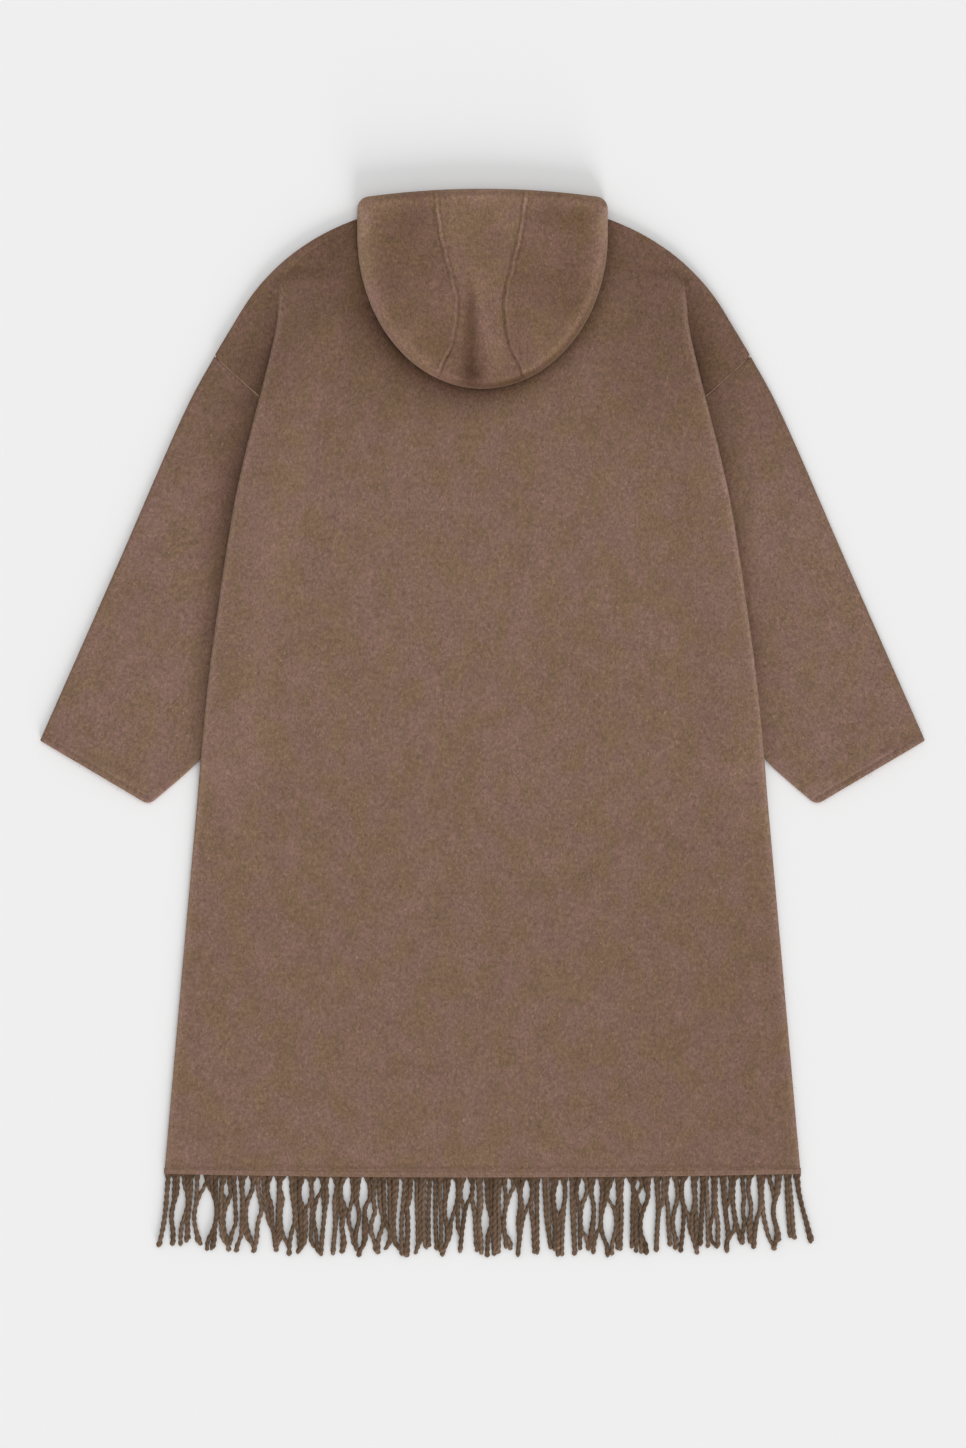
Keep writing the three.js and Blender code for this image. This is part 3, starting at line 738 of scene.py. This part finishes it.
def sleeve_tone_and_painted_light(points):
    """Tone of a sleeve: painted shade beside the body's fold, darker at the shoulder, lighter at the
    cuff's end and darker along the cuff's stitches.
    """
    x, y = points[:, 0], points[:, 1]
    (start_x, start_y), (cuff_x, cuff_y) = OVERARM[0], OVERARM[-1]
    run_x, run_y = cuff_x - start_x, cuff_y - start_y
    down = ((np.abs(x) - start_x) * run_x + (y - start_y) * run_y) / math.hypot(run_x, run_y)
    tone = 1.035 - beside_fold(x, y) - (0.15 + 0.05 * (x > 0)) * smooth(200, 0, down)
    return tone + 0.05 * smooth(464, 469, down) - 0.14 * bell(down - CUFF_LINE, 1.8)


sleeve_meshes = {}
for side, name in SIDES:
    points, faces = tube_walls(sleeve_rings(side, 0.0), sleeve_rings(side, CLOTH))
    sleeve_meshes[side] = (points, turned_out(points, faces))
    sleeve = put(
        f"sleeve_cloth_{name}", *sleeve_meshes[side], sleeve_wools[side],
        "sleeve_wool", [f"sleeve_{name}"], sleeve_tone_and_painted_light(points),
    )


# Hood --------------------


RIM = 11.0  # the hood's top begins this far inside its outline
# (inset, z) of the middle of the hood's rolled edge, from its underside to its top
HOOD_ROLL = [
    (3.6, 6.9), (2.5, 6.7), (1.65, 7.6), (1.25, 9.2), (1.4, 11.2), (2.1, 13.1), (3.4, 14.9),
    (5.2, 16.4), (7.4, 17.3), (9.2, 17.55), (RIM, 17.6),
]
# (inset, z over the lowest point) of the edge of the hood's hidden layers
HOOD_LAYERS = [
    (14, 0), (9, 0), (7, 0.35), (6.1, 1.2), (6.3, 2.1), (7.6, 2.65), (6.6, 3.2), (6.4, 4.2),
    (7.4, 5.4), (10, 6.1), (16, 6.3),
]
# Lengths along the hood's edge from a seam to the points beside it
SEAM_STEPS = np.array([0, 0.5, 1.0, 1.5, 2.0, 2.6, 3.3, 4.2, 5.5, 7.5, 10.5])


def off_seam(x, y):
    """Distance outside the hood's two seams, which wander a little."""
    wander = 0.36 * np.sin(0.23 * y + 0.03 * x) + 0.24 * np.sin(0.61 * y + 1)
    return np.abs(x + SEAM_SHIFT) - column(HOOD_SEAM, y) + wander


def hood_trough(x, y):
    """Depth, up to 1, of the long trough that runs down the centre panel."""
    across = x + 14.5 - 0.02 * (485 - y)
    down = np.clip((498 - y) / 100, 0, 1)
    sides = np.where(across > 0, bell(across, 4.5 + 8 * down), bell(across, 5.5 + 7 * down))
    return sides * (1 - smooth(450, 516, y))


def hood_ridge(x, y, width):
    """Height, up to 1, of the soft ridge beside that trough."""
    ends = smooth(386, 404, y) * (1 - smooth(490, 540, y))
    return ends * bell(x - column(HOOD_RIDGE, y), width)


def hood_form(x, y):
    """Height of the hood's cloth over its plain top: dome, rolled edge, troughs and seams."""
    inset = far_from_edge(x, y)
    d = off_seam(x, y)
    centre = 1 - smooth(-1.5, 1.5, d)
    low = 1 - smooth(440, 535, y)
    form = 4.6 * bell(y - 486, 84) - 1.6
    form = form - 0.8 * bell(inset - 26, 12) * (1 - centre) + 0.4 * bell(inset - 9, 6)
    form = form + 1.6 * bell(np.abs(x + SEAM_SHIFT) - 76, 26) * bell(y - 455, 52)
    form = form - 1.2 * centre * smooth(372, 430, y) * (1 - smooth(520, 590, y))
    form = form - 3.4 * smooth(366, 392, y) * hood_trough(x, y) + 1.5 * hood_ridge(x - 3, y, 7)
    form = form + 0.8 * bell(d - 1.2 * low, 1.7) - 0.85 * bell(d + 2.4, 1.5) * low
    form = form - 0.5 * bell(np.abs(d) - 3, 1.4) * (1 - low)
    return form + 0.4 * ripple(x, y, 21, 80) + 0.16 * ripple(x, y, 22, 34)


def rim_painted_light(x, y, inset):
    """Painted light that the rolled edge adds to the hood's tone: a painted highlight at the sides,
    most on the left, and painted shade at the crown's outermost edge."""
    right = smooth(-60, 60, x)
    below_top = smooth(594, 562, y)
    drop = np.maximum(HOOD_BELOW - y, 0) / (HOOD_BELOW - HOOD_CROWN) ** 2
    crown = np.sqrt(drop / np.maximum(np.hypot(x / HOOD_HALF**2, drop), 1e-9))
    outermost = 1 - smooth(3, 8.5, inset)
    roll = (0.13 - 0.07 * crown) * (1 - smooth(7, 19, inset)) * (0.4 + 0.6 * below_top)
    side = (0.27 - 0.16 * right) * (1 - smooth(8, 18, inset)) + (0.78 - 0.62 * right) * outermost
    return roll + (1 - crown) * below_top * side - (0.33 + 0.36 * right) * crown * outermost


def seam_painted_light(x, y):
    """Painted light that the seams add to the hood's tone: a painted highlight on the seam's ridge,
    uneven along it, and a dark line of painted shade in the groove beside it.
    """
    d = off_seam(x, y)
    low = 1 - smooth(440, 535, y)
    uneven_highlight = 0.8 + 0.3 * np.sin(y * 0.19 + x * 0.1) * np.sin(y * 0.067 + 1)
    light = bell(d - 1.2 * low, 1.6) * (0.22 + 0.22 * (1 - low)) * uneven_highlight
    dark = 0.36 * bell(d + 2.2, 1.5) * low + 0.2 * bell(np.abs(d) - 3.1, 1.3) * (1 - low)
    return light - dark


def hood_tone_and_painted_light(points):
    """Painted light and shade on the hood: painted highlights on its rolled edges and ridge, painted
    shade in its hollows, its trough and along its seams, with a faint random mottle.
    """
    x, y = points[:, 0], points[:, 1]
    out = np.abs(x)
    inset = far_from_edge(x, y)
    right = smooth(-60, 60, x)
    centre = 1 - smooth(-1.5, 1.5, off_seam(x, y))
    panel = smooth(13, 32, inset) * (1 - centre)
    tone = 1.045 + rim_painted_light(x, y, inset) + 0.045 * ripple(x, y, 23, 70) * smooth(4, 20, inset)
    # painted shade on the lower dome, the side panels, in the trough and at the crown's dimple; painted
    # highlights on the top's middle and on the ridge
    tone = tone - 0.05 * smooth(530, 485, y) + 0.14 * bell(x, 44) * smooth(530, 575, y)
    tone = tone - 0.13 * bell(out - 98, 24) * bell(y - 478, 42)
    tone = tone - (0.24 - 0.12 * right) * bell(y - 583, 24) * bell(out - 72, 26)
    tone = tone - 0.15 * panel * smooth(430, 520, y)
    tone = tone - (0.2 - 0.06 * right) * panel * (1 - smooth(400, 480, y))
    tone = tone - 0.46 * smooth(370, 392, y) * hood_trough(x, y) + 0.1 * hood_ridge(x - 4, y, 6)
    tone = tone - 0.07 * centre * smooth(440, 390, y) - 0.1 * bell(y - 390, 12) * bell(x + 8, 20)
    return tone + smooth(2.5, 8, inset) * seam_painted_light(x, y)


def coons(bottom, top, start, end):
    """A grid of points between four edges that share their ends."""
    u = np.linspace(0, 1, len(bottom))[None, :, None]
    v = np.linspace(0, 1, len(start))[:, None, None]
    corners = (1 - u) * (1 - v) * bottom[0] + u * (1 - v) * bottom[-1]
    corners = corners + (1 - u) * v * top[0] + u * v * top[-1]
    return (1 - v) * bottom + v * top + (1 - u) * start[:, None] + u * end[:, None] - corners


def seam_ends(side):
    """Lengths along the outline where a seam leaves the hood at its crown and its top."""
    lengths = np.linspace(0, EDGE_LONG, 3000, endpoint=False)
    x, y = hood_at(lengths, RIM).T
    off = np.abs(x + SEAM_SHIFT - side * column(HOOD_SEAM, y))
    off = np.where(x * side > 20, off, 99)
    low = np.where(y < 480, off, 99).argmin()
    high = np.where(y > 520, off, 99).argmin()
    return lengths[low], lengths[high]


def eased(a, b, count, start=True, end=True):
    """Lengths from a to b, close together next to the seam that they start or end at."""
    way = 1 if b > a else -1
    near = SEAM_STEPS * way
    first = a + near if start else np.array([a])
    last = (b - near)[::-1] if end else np.array([b])
    middle = np.linspace(first[-1], last[0], count - len(first) - len(last) + 2)[1:-1]
    return np.concatenate([first, middle, last])


def hood_grids():
    """The hood's middle surface: three panels between their seams, and the rolled rim."""
    top_z = HOOD_HEIGHT - CLOTH / 2 + 0.85
    (low_r, high_r), (low_l, high_l) = seam_ends(1), seam_ends(-1)
    tall, wide, across = 104, 40, 56
    turn_r, turn_l = low_r + 74, low_l - 74
    corner_r, corner_l = high_r - 96, high_l + 96
    # Lengths along the outline, in order round it
    runs = {
        "crown": eased(low_l - EDGE_LONG, low_r, across),
        "low_r": eased(low_r, turn_r, wide, end=False),
        "side_r": np.linspace(turn_r, corner_r, tall),
        "top_r": eased(corner_r, high_r, wide, start=False),
        "top": eased(high_r, high_l, across),
        "top_l": eased(high_l, corner_l, wide, end=False),
        "side_l": np.linspace(corner_l, turn_l, tall),
        "low_l": eased(turn_l, low_l, wide, start=False),
    }
    at = {name: hood_at(lengths, RIM) for name, lengths in runs.items()}
    seams = {}
    for side, low, high in ((1, at["crown"][-1], at["top"][0]), (-1, at["crown"][0], at["top"][-1])):
        y = np.linspace(low[1], high[1], tall)
        seams[side] = np.column_stack([side * column(HOOD_SEAM, y) - SEAM_SHIFT, y])
        seams[side][0], seams[side][-1] = low, high
    panels = [
        coons(at["crown"], at["top"][::-1], seams[-1], seams[1]),
        coons(at["low_r"], at["top_r"][::-1], seams[1], at["side_r"]),
        coons(at["low_l"], at["top_l"][::-1], at["side_l"][::-1], seams[-1]),
    ]
    grids = []
    for plan in panels:
        x, y = plan[..., 0], plan[..., 1]
        grids.append(np.dstack([x, y, top_z + hood_form(x, y)]))
    around = np.concatenate([lengths[:-1] for lengths in runs.values()])
    around = np.append(around, around[0] + EDGE_LONG)
    rings = []
    for inset, z in HOOD_ROLL:
        ring = hood_at(around, inset)
        form = hood_form(ring[:, 0], ring[:, 1]) * smooth(2.5, RIM, inset)
        rings.append(np.column_stack([ring, z + form]))
    return [*grids, np.stack(rings)]


def closed_in(ring):
    """Rings that close a ring in to a line along the hood's middle."""
    x, y, z = ring.T
    spine = np.column_stack([0 * x, np.clip(y, 425, 562), z])
    return [ring + (spine - ring) * share for share in (0.4, 0.75, 1.0)]


def hood_layers():
    """The hood's hidden layers, with a groove between the two that show at the edge."""
    around = np.linspace(0, EDGE_LONG, 500, endpoint=False)
    rings = []
    for inset, z in HOOD_LAYERS:
        ring = hood_at(around, inset)
        rings.append(np.column_stack([ring, np.full(len(ring), HOOD_BASE - GAP + z)]))
    grid = np.stack([*closed_in(rings[0])[::-1], *rings, *closed_in(rings[-1])])
    grid = np.concatenate([grid, grid[:, :1]], axis=1)
    return welded(grid.reshape(-1, 3), quads(*grid.shape[:2]))


def neck_grid(side):
    """The part of a hood side panel under the coat, from the front neckline to its edge."""
    a = np.radians(np.linspace(1, 90, 16))
    reach, drop = NECK_HALF - 0.7, NECK_DROP - 0.7
    low = np.column_stack([np.maximum(1.15, reach * np.sin(a)), NECK_Y - drop * np.cos(a)])
    low = np.vstack([low, [(107, 575), (118, 573), (128, 570.5), (137, 568)]])
    t, at = np.linspace(0, 1, len(low)), [0, 0.72, 0.9, 1]
    high_x, high_y = np.interp(t, at, [8, 100, 128, 137]), np.interp(t, at, [515, 590, 590, 583])
    high = np.column_stack([high_x, high_y])
    grid = np.stack([low + (high - low) * f for f in (0, 0.03, 0.2, 0.4, 0.6, 0.8, 0.97, 1)])
    grid = np.dstack([grid[..., 0] * side, grid[..., 1], np.full(grid.shape[:2], CLOTH / 2)])
    return grid if side < 0 else grid[:, ::-1]


def neck_side(side):
    """The upright stretch of the hood's side panel beside the shoulder."""
    z = np.array([CLOTH / 2, 3, 5, 7, 8.6])
    y = np.linspace(569, 583, 6)
    zz, yy = np.meshgrid(z, y, indexing="ij")
    bend = 0.6 * np.sin(np.pi * (zz - z[0]) / (z[-1] - z[0]))
    grid = np.dstack([side * (136.6 + bend), yy, zz])
    return grid if side < 0 else grid[:, ::-1]


hood_points, hood_faces = cloth_wall(hood_grids(), bulge=0.6)
hood = put(
    "hood_cloth", hood_points, hood_faces, hood_wool, "hood_wool",
    ["hood_left", "hood_centre", "hood_right"], hood_tone_and_painted_light(hood_points),
)
put("hood_layers", *hood_layers(), under_wool, "hood_wool", ["hood_under"])
for side, name in SIDES:
    points, faces = cloth_wall([neck_grid(side)], bulge=0.4)
    put(f"hood_neck_{name}", points, faces, under_wool, "hood_wool")
    points, faces = cloth_wall([neck_side(side)], thick=2.2, bulge=0.2)
    put(f"hood_neck_side_{name}", points, faces, under_wool, "hood_wool")


# Fringe --------------------


FRINGE_TIP = -597.5  # the lowest y that a strand reaches
STRAND_R = 2.9  # largest radius of a strand's plies
STRAND_SIDES, STRAND_STEPS = 10, 64
PLY_TURN = 15.0  # length of one turn of a strand's two plies
# Gaps between bunches of strands: (x, top, bottom, width, drift of x from top to bottom).
# A gap that goes past the tips is open below.
GAPS = [
    (-339, -522, -564, 9, -9), (-314, -503, -519, 4.5, -1), (-310, -521, -578, 16.5, -4),
    (-292, -582, -620, 14.5, -3), (-287, -515, -530, 4.5, 1), (-283, -536, -574, 7.5, -2),
    (-277, -564, -620, 5.5, -3), (-265, -578, -620, 16.5, 4), (-263, -505, -530, 5.5, -2),
    (-256, -525, -575, 11, -1), (-246, -546, -580, 5.5, -4), (-242, -563, -620, 16.5, -4),
    (-234, -506, -534, 6.5, -1), (-223, -581, -620, 12, 4), (-221, -507, -526, 5.5, -2),
    (-218, -528, -576, 9, -1), (-210, -564, -620, 5.5, -1), (-198, -509, -540, 7.5, -1),
    (-195, -585, -620, 15.5, 0), (-185, -508, -527, 6.5, -2), (-183, -533, -566, 5.5, -2),
    (-172, -538, -620, 9, -1), (-169, -508, -529, 5.5, 0), (-161, -552, -620, 4.5, -2),
    (-152, -509, -538, 7.5, 0), (-152, -550, -573, 4.5, -1), (-148, -585, -620, 10, -2),
    (-144, -538, -566, 5.5, -1), (-133, -510, -547, 7.5, -3), (-129, -586, -620, 12, 1),
    (-126, -536, -557, 5.5, 0), (-118, -546, -575, 6.5, -4), (-109, -565, -585, 4.5, -2),
    (-101, -584, -620, 12, 2), (-79, -536, -549, 5.5, -1), (-78, -552, -565, 5.5, -1),
    (-68, -584, -620, 6.5, -1), (-35, -512, -555, 6.5, -7), (-29, -572, -620, 19, -4),
    (-18, -510, -536, 6.5, -4), (-15, -538, -620, 11, -2), (3, -543, -571, 7.5, -1),
    (30, -509, -524, 4.5, -1), (33, -520, -574, 9, -9), (49, -512, -539, 6.5, -1),
    (50, -547, -620, 11, -2), (69, -561, -620, 7.5, 1), (86, -511, -547, 6.5, -2),
    (111, -510, -535, 5.5, -2), (117, -528, -571, 7.5, -4), (128, -510, -539, 5.5, 0),
    (132, -568, -620, 9, 0), (141, -536, -581, 10, 0), (146, -520, -538, 6.5, 2),
    (161, -572, -620, 5.5, -1), (162, -511, -545, 7.5, -1), (174, -512, -525, 4.5, 0),
    (179, -521, -537, 6.5, -1), (185, -535, -577, 9, -6), (191, -567, -620, 7.5, -1),
    (202, -542, -620, 9, 1), (212, -511, -540, 6.5, 0), (219, -540, -574, 5.5, -1),
    (230, -509, -547, 7.5, 3), (230, -570, -620, 11, 2), (258, -585, -620, 7.5, 0),
    (260, -554, -582, 4.5, 1), (269, -542, -620, 6.5, 2), (278, -537, -566, 4.5, 2),
    (282, -576, -620, 14.5, 6), (287, -508, -566, 6.5, 4), (296, -530, -555, 3, -1),
    (304, -507, -537, 6.5, 1), (314, -548, -620, 15.5, 2), (321, -507, -580, 7.5, 8),
    (332, -529, -563, 6.5, 0),
]
GAP_END = -592.0  # where a gap that is open below reaches its full width


def softened(paths, times):
    """Paths with their kinks smoothed out along their length."""
    for _ in range(times):
        padded = np.pad(paths, ((0, 0), (1, 1)), mode="edge")
        paths = (padded[:, :-2] + 2 * paths + padded[:, 2:]) / 4
    return paths


def parted(paths, base, y):
    """Paths pushed aside by the gaps, each to the side of a gap that it starts on."""
    for x, top, bottom, width, drift in GAPS:
        open_below = bottom < FRINGE_TIP
        end = max(bottom, GAP_END)
        t = (top - y) / (top - end)
        inside = (t > 0) & ((t < 1) | open_below)
        t = np.clip(t, 0, 1)
        half = width / 2 * (np.sqrt(t) if open_below else np.sin(math.pi * t) ** 0.7)
        middle = x + drift * (t - 0.5)
        reach = 1.2 * half + STRAND_R * 0.92
        left = (base[:, np.abs(y - (top + end) / 2).argmin()] < x)[:, None]
        aside = np.where(left, np.minimum(paths, middle - reach), np.maximum(paths, middle + reach))
        paths = np.where(inside, aside, paths)
    return paths


def strand_paths(roots, rng):
    """Sideways places of strands from their roots down, parted by the gaps."""
    y = np.linspace(HEM_Y - 2, FRINGE_TIP, STRAND_STEPS)
    along = np.linspace(0, 1, STRAND_STEPS)
    n = len(roots)
    flare = np.sign(roots) * 26 * np.exp(-(HEM_HALF - np.abs(roots)) / 9)
    sway = rng.normal(0, 3.4, n)[:, None] * along
    sway = sway + rng.normal(0, 1.4, n)[:, None] * np.sin(math.pi * along)
    size, phase = rng.normal(0, 0.5, n)[:, None], rng.uniform(0, 6, n)[:, None]
    wave = size * np.sin(2.3 * math.pi * along + phase)
    base = roots[:, None] + flare[:, None] * along**1.25 + sway + wave
    paths = base
    for _ in range(4):
        paths = softened(parted(paths, base, y), 5)
        paths[:, 0] = roots
    return y, along, softened(parted(paths, base, y), 6)


def strand(path, y, along, index, layer, rng, offset):
    """A two-ply twisted strand with a rounded end, as points, faces and tone."""
    root = path[0]
    tip = FRINGE_TIP + 12 * (root / HEM_HALF) ** 4 + 9 * math.sin((index - 34) * 2.4) ** 2
    tip = max(tip + rng.uniform(-1.5, 3), FRINGE_TIP)
    top = hem_y(root) + 1.5
    own_y = top + along * (tip - top)
    x = np.interp(-own_y, -y, path)
    if layer == "back":
        start, rest, settled = LAID - 0.9, 3.1 + 0.5 * ((index * 7) % 3), smooth(0.02, 0.3, along)
    else:
        start, rest, settled = 1.7, 2.6 + 0.4 * ((index * 5) % 2), smooth(0, 0.3, along)
    z = start + (rest - start) * settled
    phase = rng.uniform(0, 6.28)
    end = np.sqrt(np.clip(1 - np.clip((along - 0.965) / 0.035, 0, 1) ** 2, 0.03, 1))
    girth = STRAND_R * rng.uniform(0.9, 1.07) * end * (1 + 0.05 * np.sin(along * 23 + phase))
    girth = girth * (1 + 0.1 * smooth(0.9, 0.96, along) + 0.8 * np.exp(-((along / 0.05) ** 2)))
    angle = np.linspace(0, 2 * math.pi, STRAND_SIDES, endpoint=False)[None, :]
    turn = 2 * math.pi * (top - tip) / PLY_TURN
    twist = np.cos(2 * (angle - (turn * along + phase)[:, None]))
    radius = girth[:, None] * (0.86 + 0.14 * twist)
    tall = (0.28 + 0.44 * smooth(0.04, 0.2, along))[:, None]
    points = np.dstack([
        x[:, None] + radius * np.cos(angle),
        np.repeat(own_y[:, None], STRAND_SIDES, 1),
        z[:, None] + radius * np.sin(angle) * tall,
    ]).reshape(-1, 3)
    # painted shade: darker for the lower layer, at the roots, in the grooves between the plies and on
    # each strand's sides and underside; painted highlight on the plies' crests; lighter towards the
    # tips
    depth = 0.8 if layer == "back" else 1.0
    shade = depth * rng.uniform(0.8, 1.15) * (1 - 0.45 * np.exp(-along / 0.06))[:, None]
    tone = shade * (0.98 + 0.26 * twist) * (1 + 0.08 * smooth(0.85, 1, along))[:, None]
    tone = tone * (0.5 + 0.5 * np.clip(np.sin(angle) * 1.3, 0, 1))
    return points, tube_faces(STRAND_STEPS, STRAND_SIDES, offset), tone.ravel()


def hem_band(name, low_x, high_x, z):
    """The strip along the hem that carries a row of fringe."""
    x = np.linspace(low_x, high_x, 240)
    rows = []
    for share in (0, 0.08, 0.3, 0.7, 0.92, 1):
        lift = 0.1 * (1 + np.sin(x * 0.9 + np.sin(x * 0.31))) * math.sin(math.pi * share)
        rows.append(np.column_stack([x, hem_y(x) + STRIP * (1 - share), z + lift]))
    points, faces = cloth_wall([np.stack(rows)], bulge=0.35)
    # painted light and shade: lighter along the strip's middle, as on a rounded roll, darker towards
    # its edges
    tone = 0.9 + 0.12 * bell(points[:, 1] - hem_y(points[:, 0]) - 3.2, 2.2)
    put(name, points, faces, band_wool, "fringe_wool", (), tone)


def fringe(name, low_x, high_x, count, layer, node, seed):
    """A row of strands and the strip that carries it."""
    rng = np.random.default_rng(seed)
    pitch = (high_x - low_x) / count
    shift = 0.5 if layer == "back" else 0.93
    roots = low_x + (np.arange(count) + shift) * pitch + rng.normal(0, 0.7, count)
    roots = np.clip(roots, low_x + 2.4, high_x - 2.4)
    y, along, paths = strand_paths(roots, rng)
    points, faces, tones = [], [], []
    for k, path in enumerate(paths):
        offset = k * STRAND_STEPS * STRAND_SIDES
        own_points, own_faces, own_tone = strand(path, y, along, k, layer, rng, offset)
        points.append(own_points)
        faces.extend(own_faces)
        tones.append(own_tone)
    tone = np.concatenate(tones)
    put(name, np.vstack(points), faces, fringe_yarn, "fringe_wool", [node], tone)
    hem_band(f"{name}_band", low_x, high_x, LAID if layer == "back" else CLOTH / 2)


fringe("fringe_strands_back", -356, 356, 68, "back", "fringe_back", 5)
fringe("fringe_strands_left", -355, -0.3, 34, "front", "fringe_front_left", 6)
fringe("fringe_strands_right", 0.3, 355, 34, "front", "fringe_front_right", 7)


# Armhole seams --------------------


def armhole_seam(side, name, lightness):
    """A low rounded ridge of napped cloth along a seam, closed underneath. It climbs beside
    the fold, where the sleeve lies higher."""
    width, height, sides = 1.8, 0.6, 8
    (outer_x, outer_y), (fold_x, fold_y) = ARMHOLE_OUTER, ARMHOLE_FOLD
    t = np.linspace(0.01, 0.9, 50)
    x, y = fold_x + t * (outer_x - fold_x), fold_y + t * (outer_y - fold_y)
    z = 5.35 + 0.1 * np.sin(t * 40) + 2.6 * smooth(0.2, 0.05, t) - 0.5 * smooth(0.7, 0.9, t)
    path = np.column_stack([side * x, y])
    along = unit(np.gradient(path, axis=0))
    across = np.column_stack([-along[:, 1], along[:, 0]])
    lines = []
    for a in np.radians(np.linspace(0, 360, sides, endpoint=False)):
        plan = path + across * (width / 2 * math.cos(a))
        lines.append(np.column_stack([plan, z + height * math.sin(a)]))
    points = np.stack(lines, 1).reshape(-1, 3)
    faces = tube_faces(len(t), sides)
    put(name, points, faces, band_wool, "body_wool", (), np.full(len(points), lightness))


armhole_seam(-1, "armhole_seam_left", 1.2)
armhole_seam(1, "armhole_seam_right", 0.9)


# Loose fibres of the nap --------------------


def fibres(name, points, faces, shown, tone, count, seed, material, slot):
    """Short fibres, each a thin closed spindle, that lie on the upper face of a cloth."""
    rng = np.random.default_rng(seed)
    tri = fan(faces)
    a, b, c = (points[tri[:, k]] for k in range(3))
    normal = np.cross(b - a, c - a)
    size = np.linalg.norm(normal, axis=1)
    weight = size * (normal[:, 2] > 0.8 * size) * shown(*((a + b + c) / 3).T)
    pick = rng.choice(len(tri), count, p=weight / weight.sum())
    s, t = rng.uniform(0, 1, (2, count, 1))
    s, t = np.where(s + t > 1, 1 - s, s), np.where(s + t > 1, 1 - t, t)
    root = a[pick] + s * (b - a)[pick] + t * (c - a)[pick]
    up = unit(normal[pick])
    angle = rng.normal(-math.pi / 2, 0.9, count)
    lie = np.column_stack([np.cos(angle), np.sin(angle), np.zeros(count)])
    lie = unit(lie - up * (lie * up).sum(axis=1, keepdims=True))
    lie[:, 2] = np.clip(lie[:, 2], -0.25, 0.12)
    aside = np.cross(up, lie)
    length = rng.uniform(3, 8, (count, 1))
    thick = rng.uniform(0.09, 0.16, (count, 1))
    bend = root + length * (0.5 * lie + rng.normal(0, 0.08, (count, 1)) * aside) + 0.06 * up
    ring = [bend + thick * (math.cos(q) * aside + math.sin(q) * up) for q in np.radians([90, 210, 330])]
    made = np.stack([root - 0.1 * up, *ring, root + length * lie], 1).reshape(-1, 3)
    spindle = np.array([(0, 1, 2), (0, 2, 3), (0, 3, 1), (4, 2, 1), (4, 3, 2), (4, 1, 3)])
    made_faces = (np.arange(count)[:, None, None] * 5 + spindle).reshape(-1, 3).tolist()
    # each fibre's own random lightness times the painted light and shade of the cloth under it
    light = rng.choice([0.86, 1.2, 1.45], count, p=[0.3, 0.4, 0.3]) * tone(root)
    put(name, made, made_faces, material, slot, (), np.repeat(light, 5))


fibres(
    "nap_back", back_points, back_faces, lambda x, y, z: ~in_hood(x, y), back_tone_and_painted_light,
    13000, 41, body_wool, "body_wool",
)
fibres(
    "nap_hood", hood_points, hood_faces, lambda x, y, z: far_from_edge(x, y) > 2, hood_tone_and_painted_light,
    1700, 42, hood_wool, "hood_wool",
)
for side, name in SIDES:
    fibres(
        f"nap_sleeve_{name}", *sleeve_meshes[side],
        lambda x, y, z: (np.abs(x) > side_x(y) + 1) & (z > 4), sleeve_tone_and_painted_light,
        2200, 43 + side, sleeve_wools[side], "sleeve_wool",
    )


# Stage, light and camera --------------------


PICTURE_HIGH = 1448  # pixels
PIXEL = 1.12 * MM
DISTANCE = 4.0
# Shares of the floor's brightness
AMBIENT, HEM_SIDE, HIGH = 0.59, 0.21, 0.16


def studio_floor(half, drop):
    """A pale matt floor just below the cloth."""
    nodes = Nodes("studio_floor")
    shader = nodes.add("ShaderNodeBsdfPrincipled")
    shader.inputs["Base Color"].default_value = (0.9, 0.9, 0.9, 1)
    shader.inputs["Roughness"].default_value = 1.0
    shader.inputs["Specular IOR Level"].default_value = 0.0
    out = nodes.add("ShaderNodeOutputMaterial")
    nodes.link(shader.outputs["BSDF"], out.inputs["Surface"])
    data = bpy.data.meshes.new("floor")
    corners = [(-half, -half, 0), (half, -half, 0), (half, half, 0), (-half, half, 0)]
    data.from_pydata(corners, [], [(0, 1, 2, 3)])
    data.materials.append(nodes.material)
    floor = bpy.data.objects.new("floor", data)
    floor.location.z = -drop
    bpy.context.collection.objects.link(floor)


def soft_sun(name, azimuth, elevation, softness, share):
    """A soft light from far off that gives a share of the floor's brightness."""
    data = bpy.data.lights.new(name, "SUN")
    data.angle = math.radians(softness)
    data.energy = math.pi * share / math.sin(math.radians(elevation))
    light = bpy.data.objects.new(name, data)
    light.rotation_euler = (math.radians(90 - elevation), 0, math.radians(azimuth + 90))
    bpy.context.collection.objects.link(light)


studio_floor(6, 0.0003)
soft_sun("hem_side_light", -76, 15.5, 28, HEM_SIDE)
soft_sun("high_light", 60, 68, 40, HIGH)
world = bpy.data.worlds.new("studio")
world.use_nodes = True
background = world.node_tree.nodes["Background"]
background.inputs["Color"].default_value = (1, 1, 1, 1)
background.inputs["Strength"].default_value = AMBIENT
bpy.context.scene.world = world
bpy.context.scene.view_settings.view_transform = "Standard"

# The camera looks straight down, half a pixel off the coat's origin
camera_data = bpy.data.cameras.new("camera")
camera = bpy.data.objects.new("camera", camera_data)
bpy.context.collection.objects.link(camera)
camera.location = (0.5 * PIXEL, -0.5 * PIXEL, DISTANCE)
camera_data.sensor_fit = "VERTICAL"
camera_data.sensor_height = 36
camera_data.lens = camera_data.sensor_height * DISTANCE / (PICTURE_HIGH * PIXEL)
bpy.context.scene.camera = camera
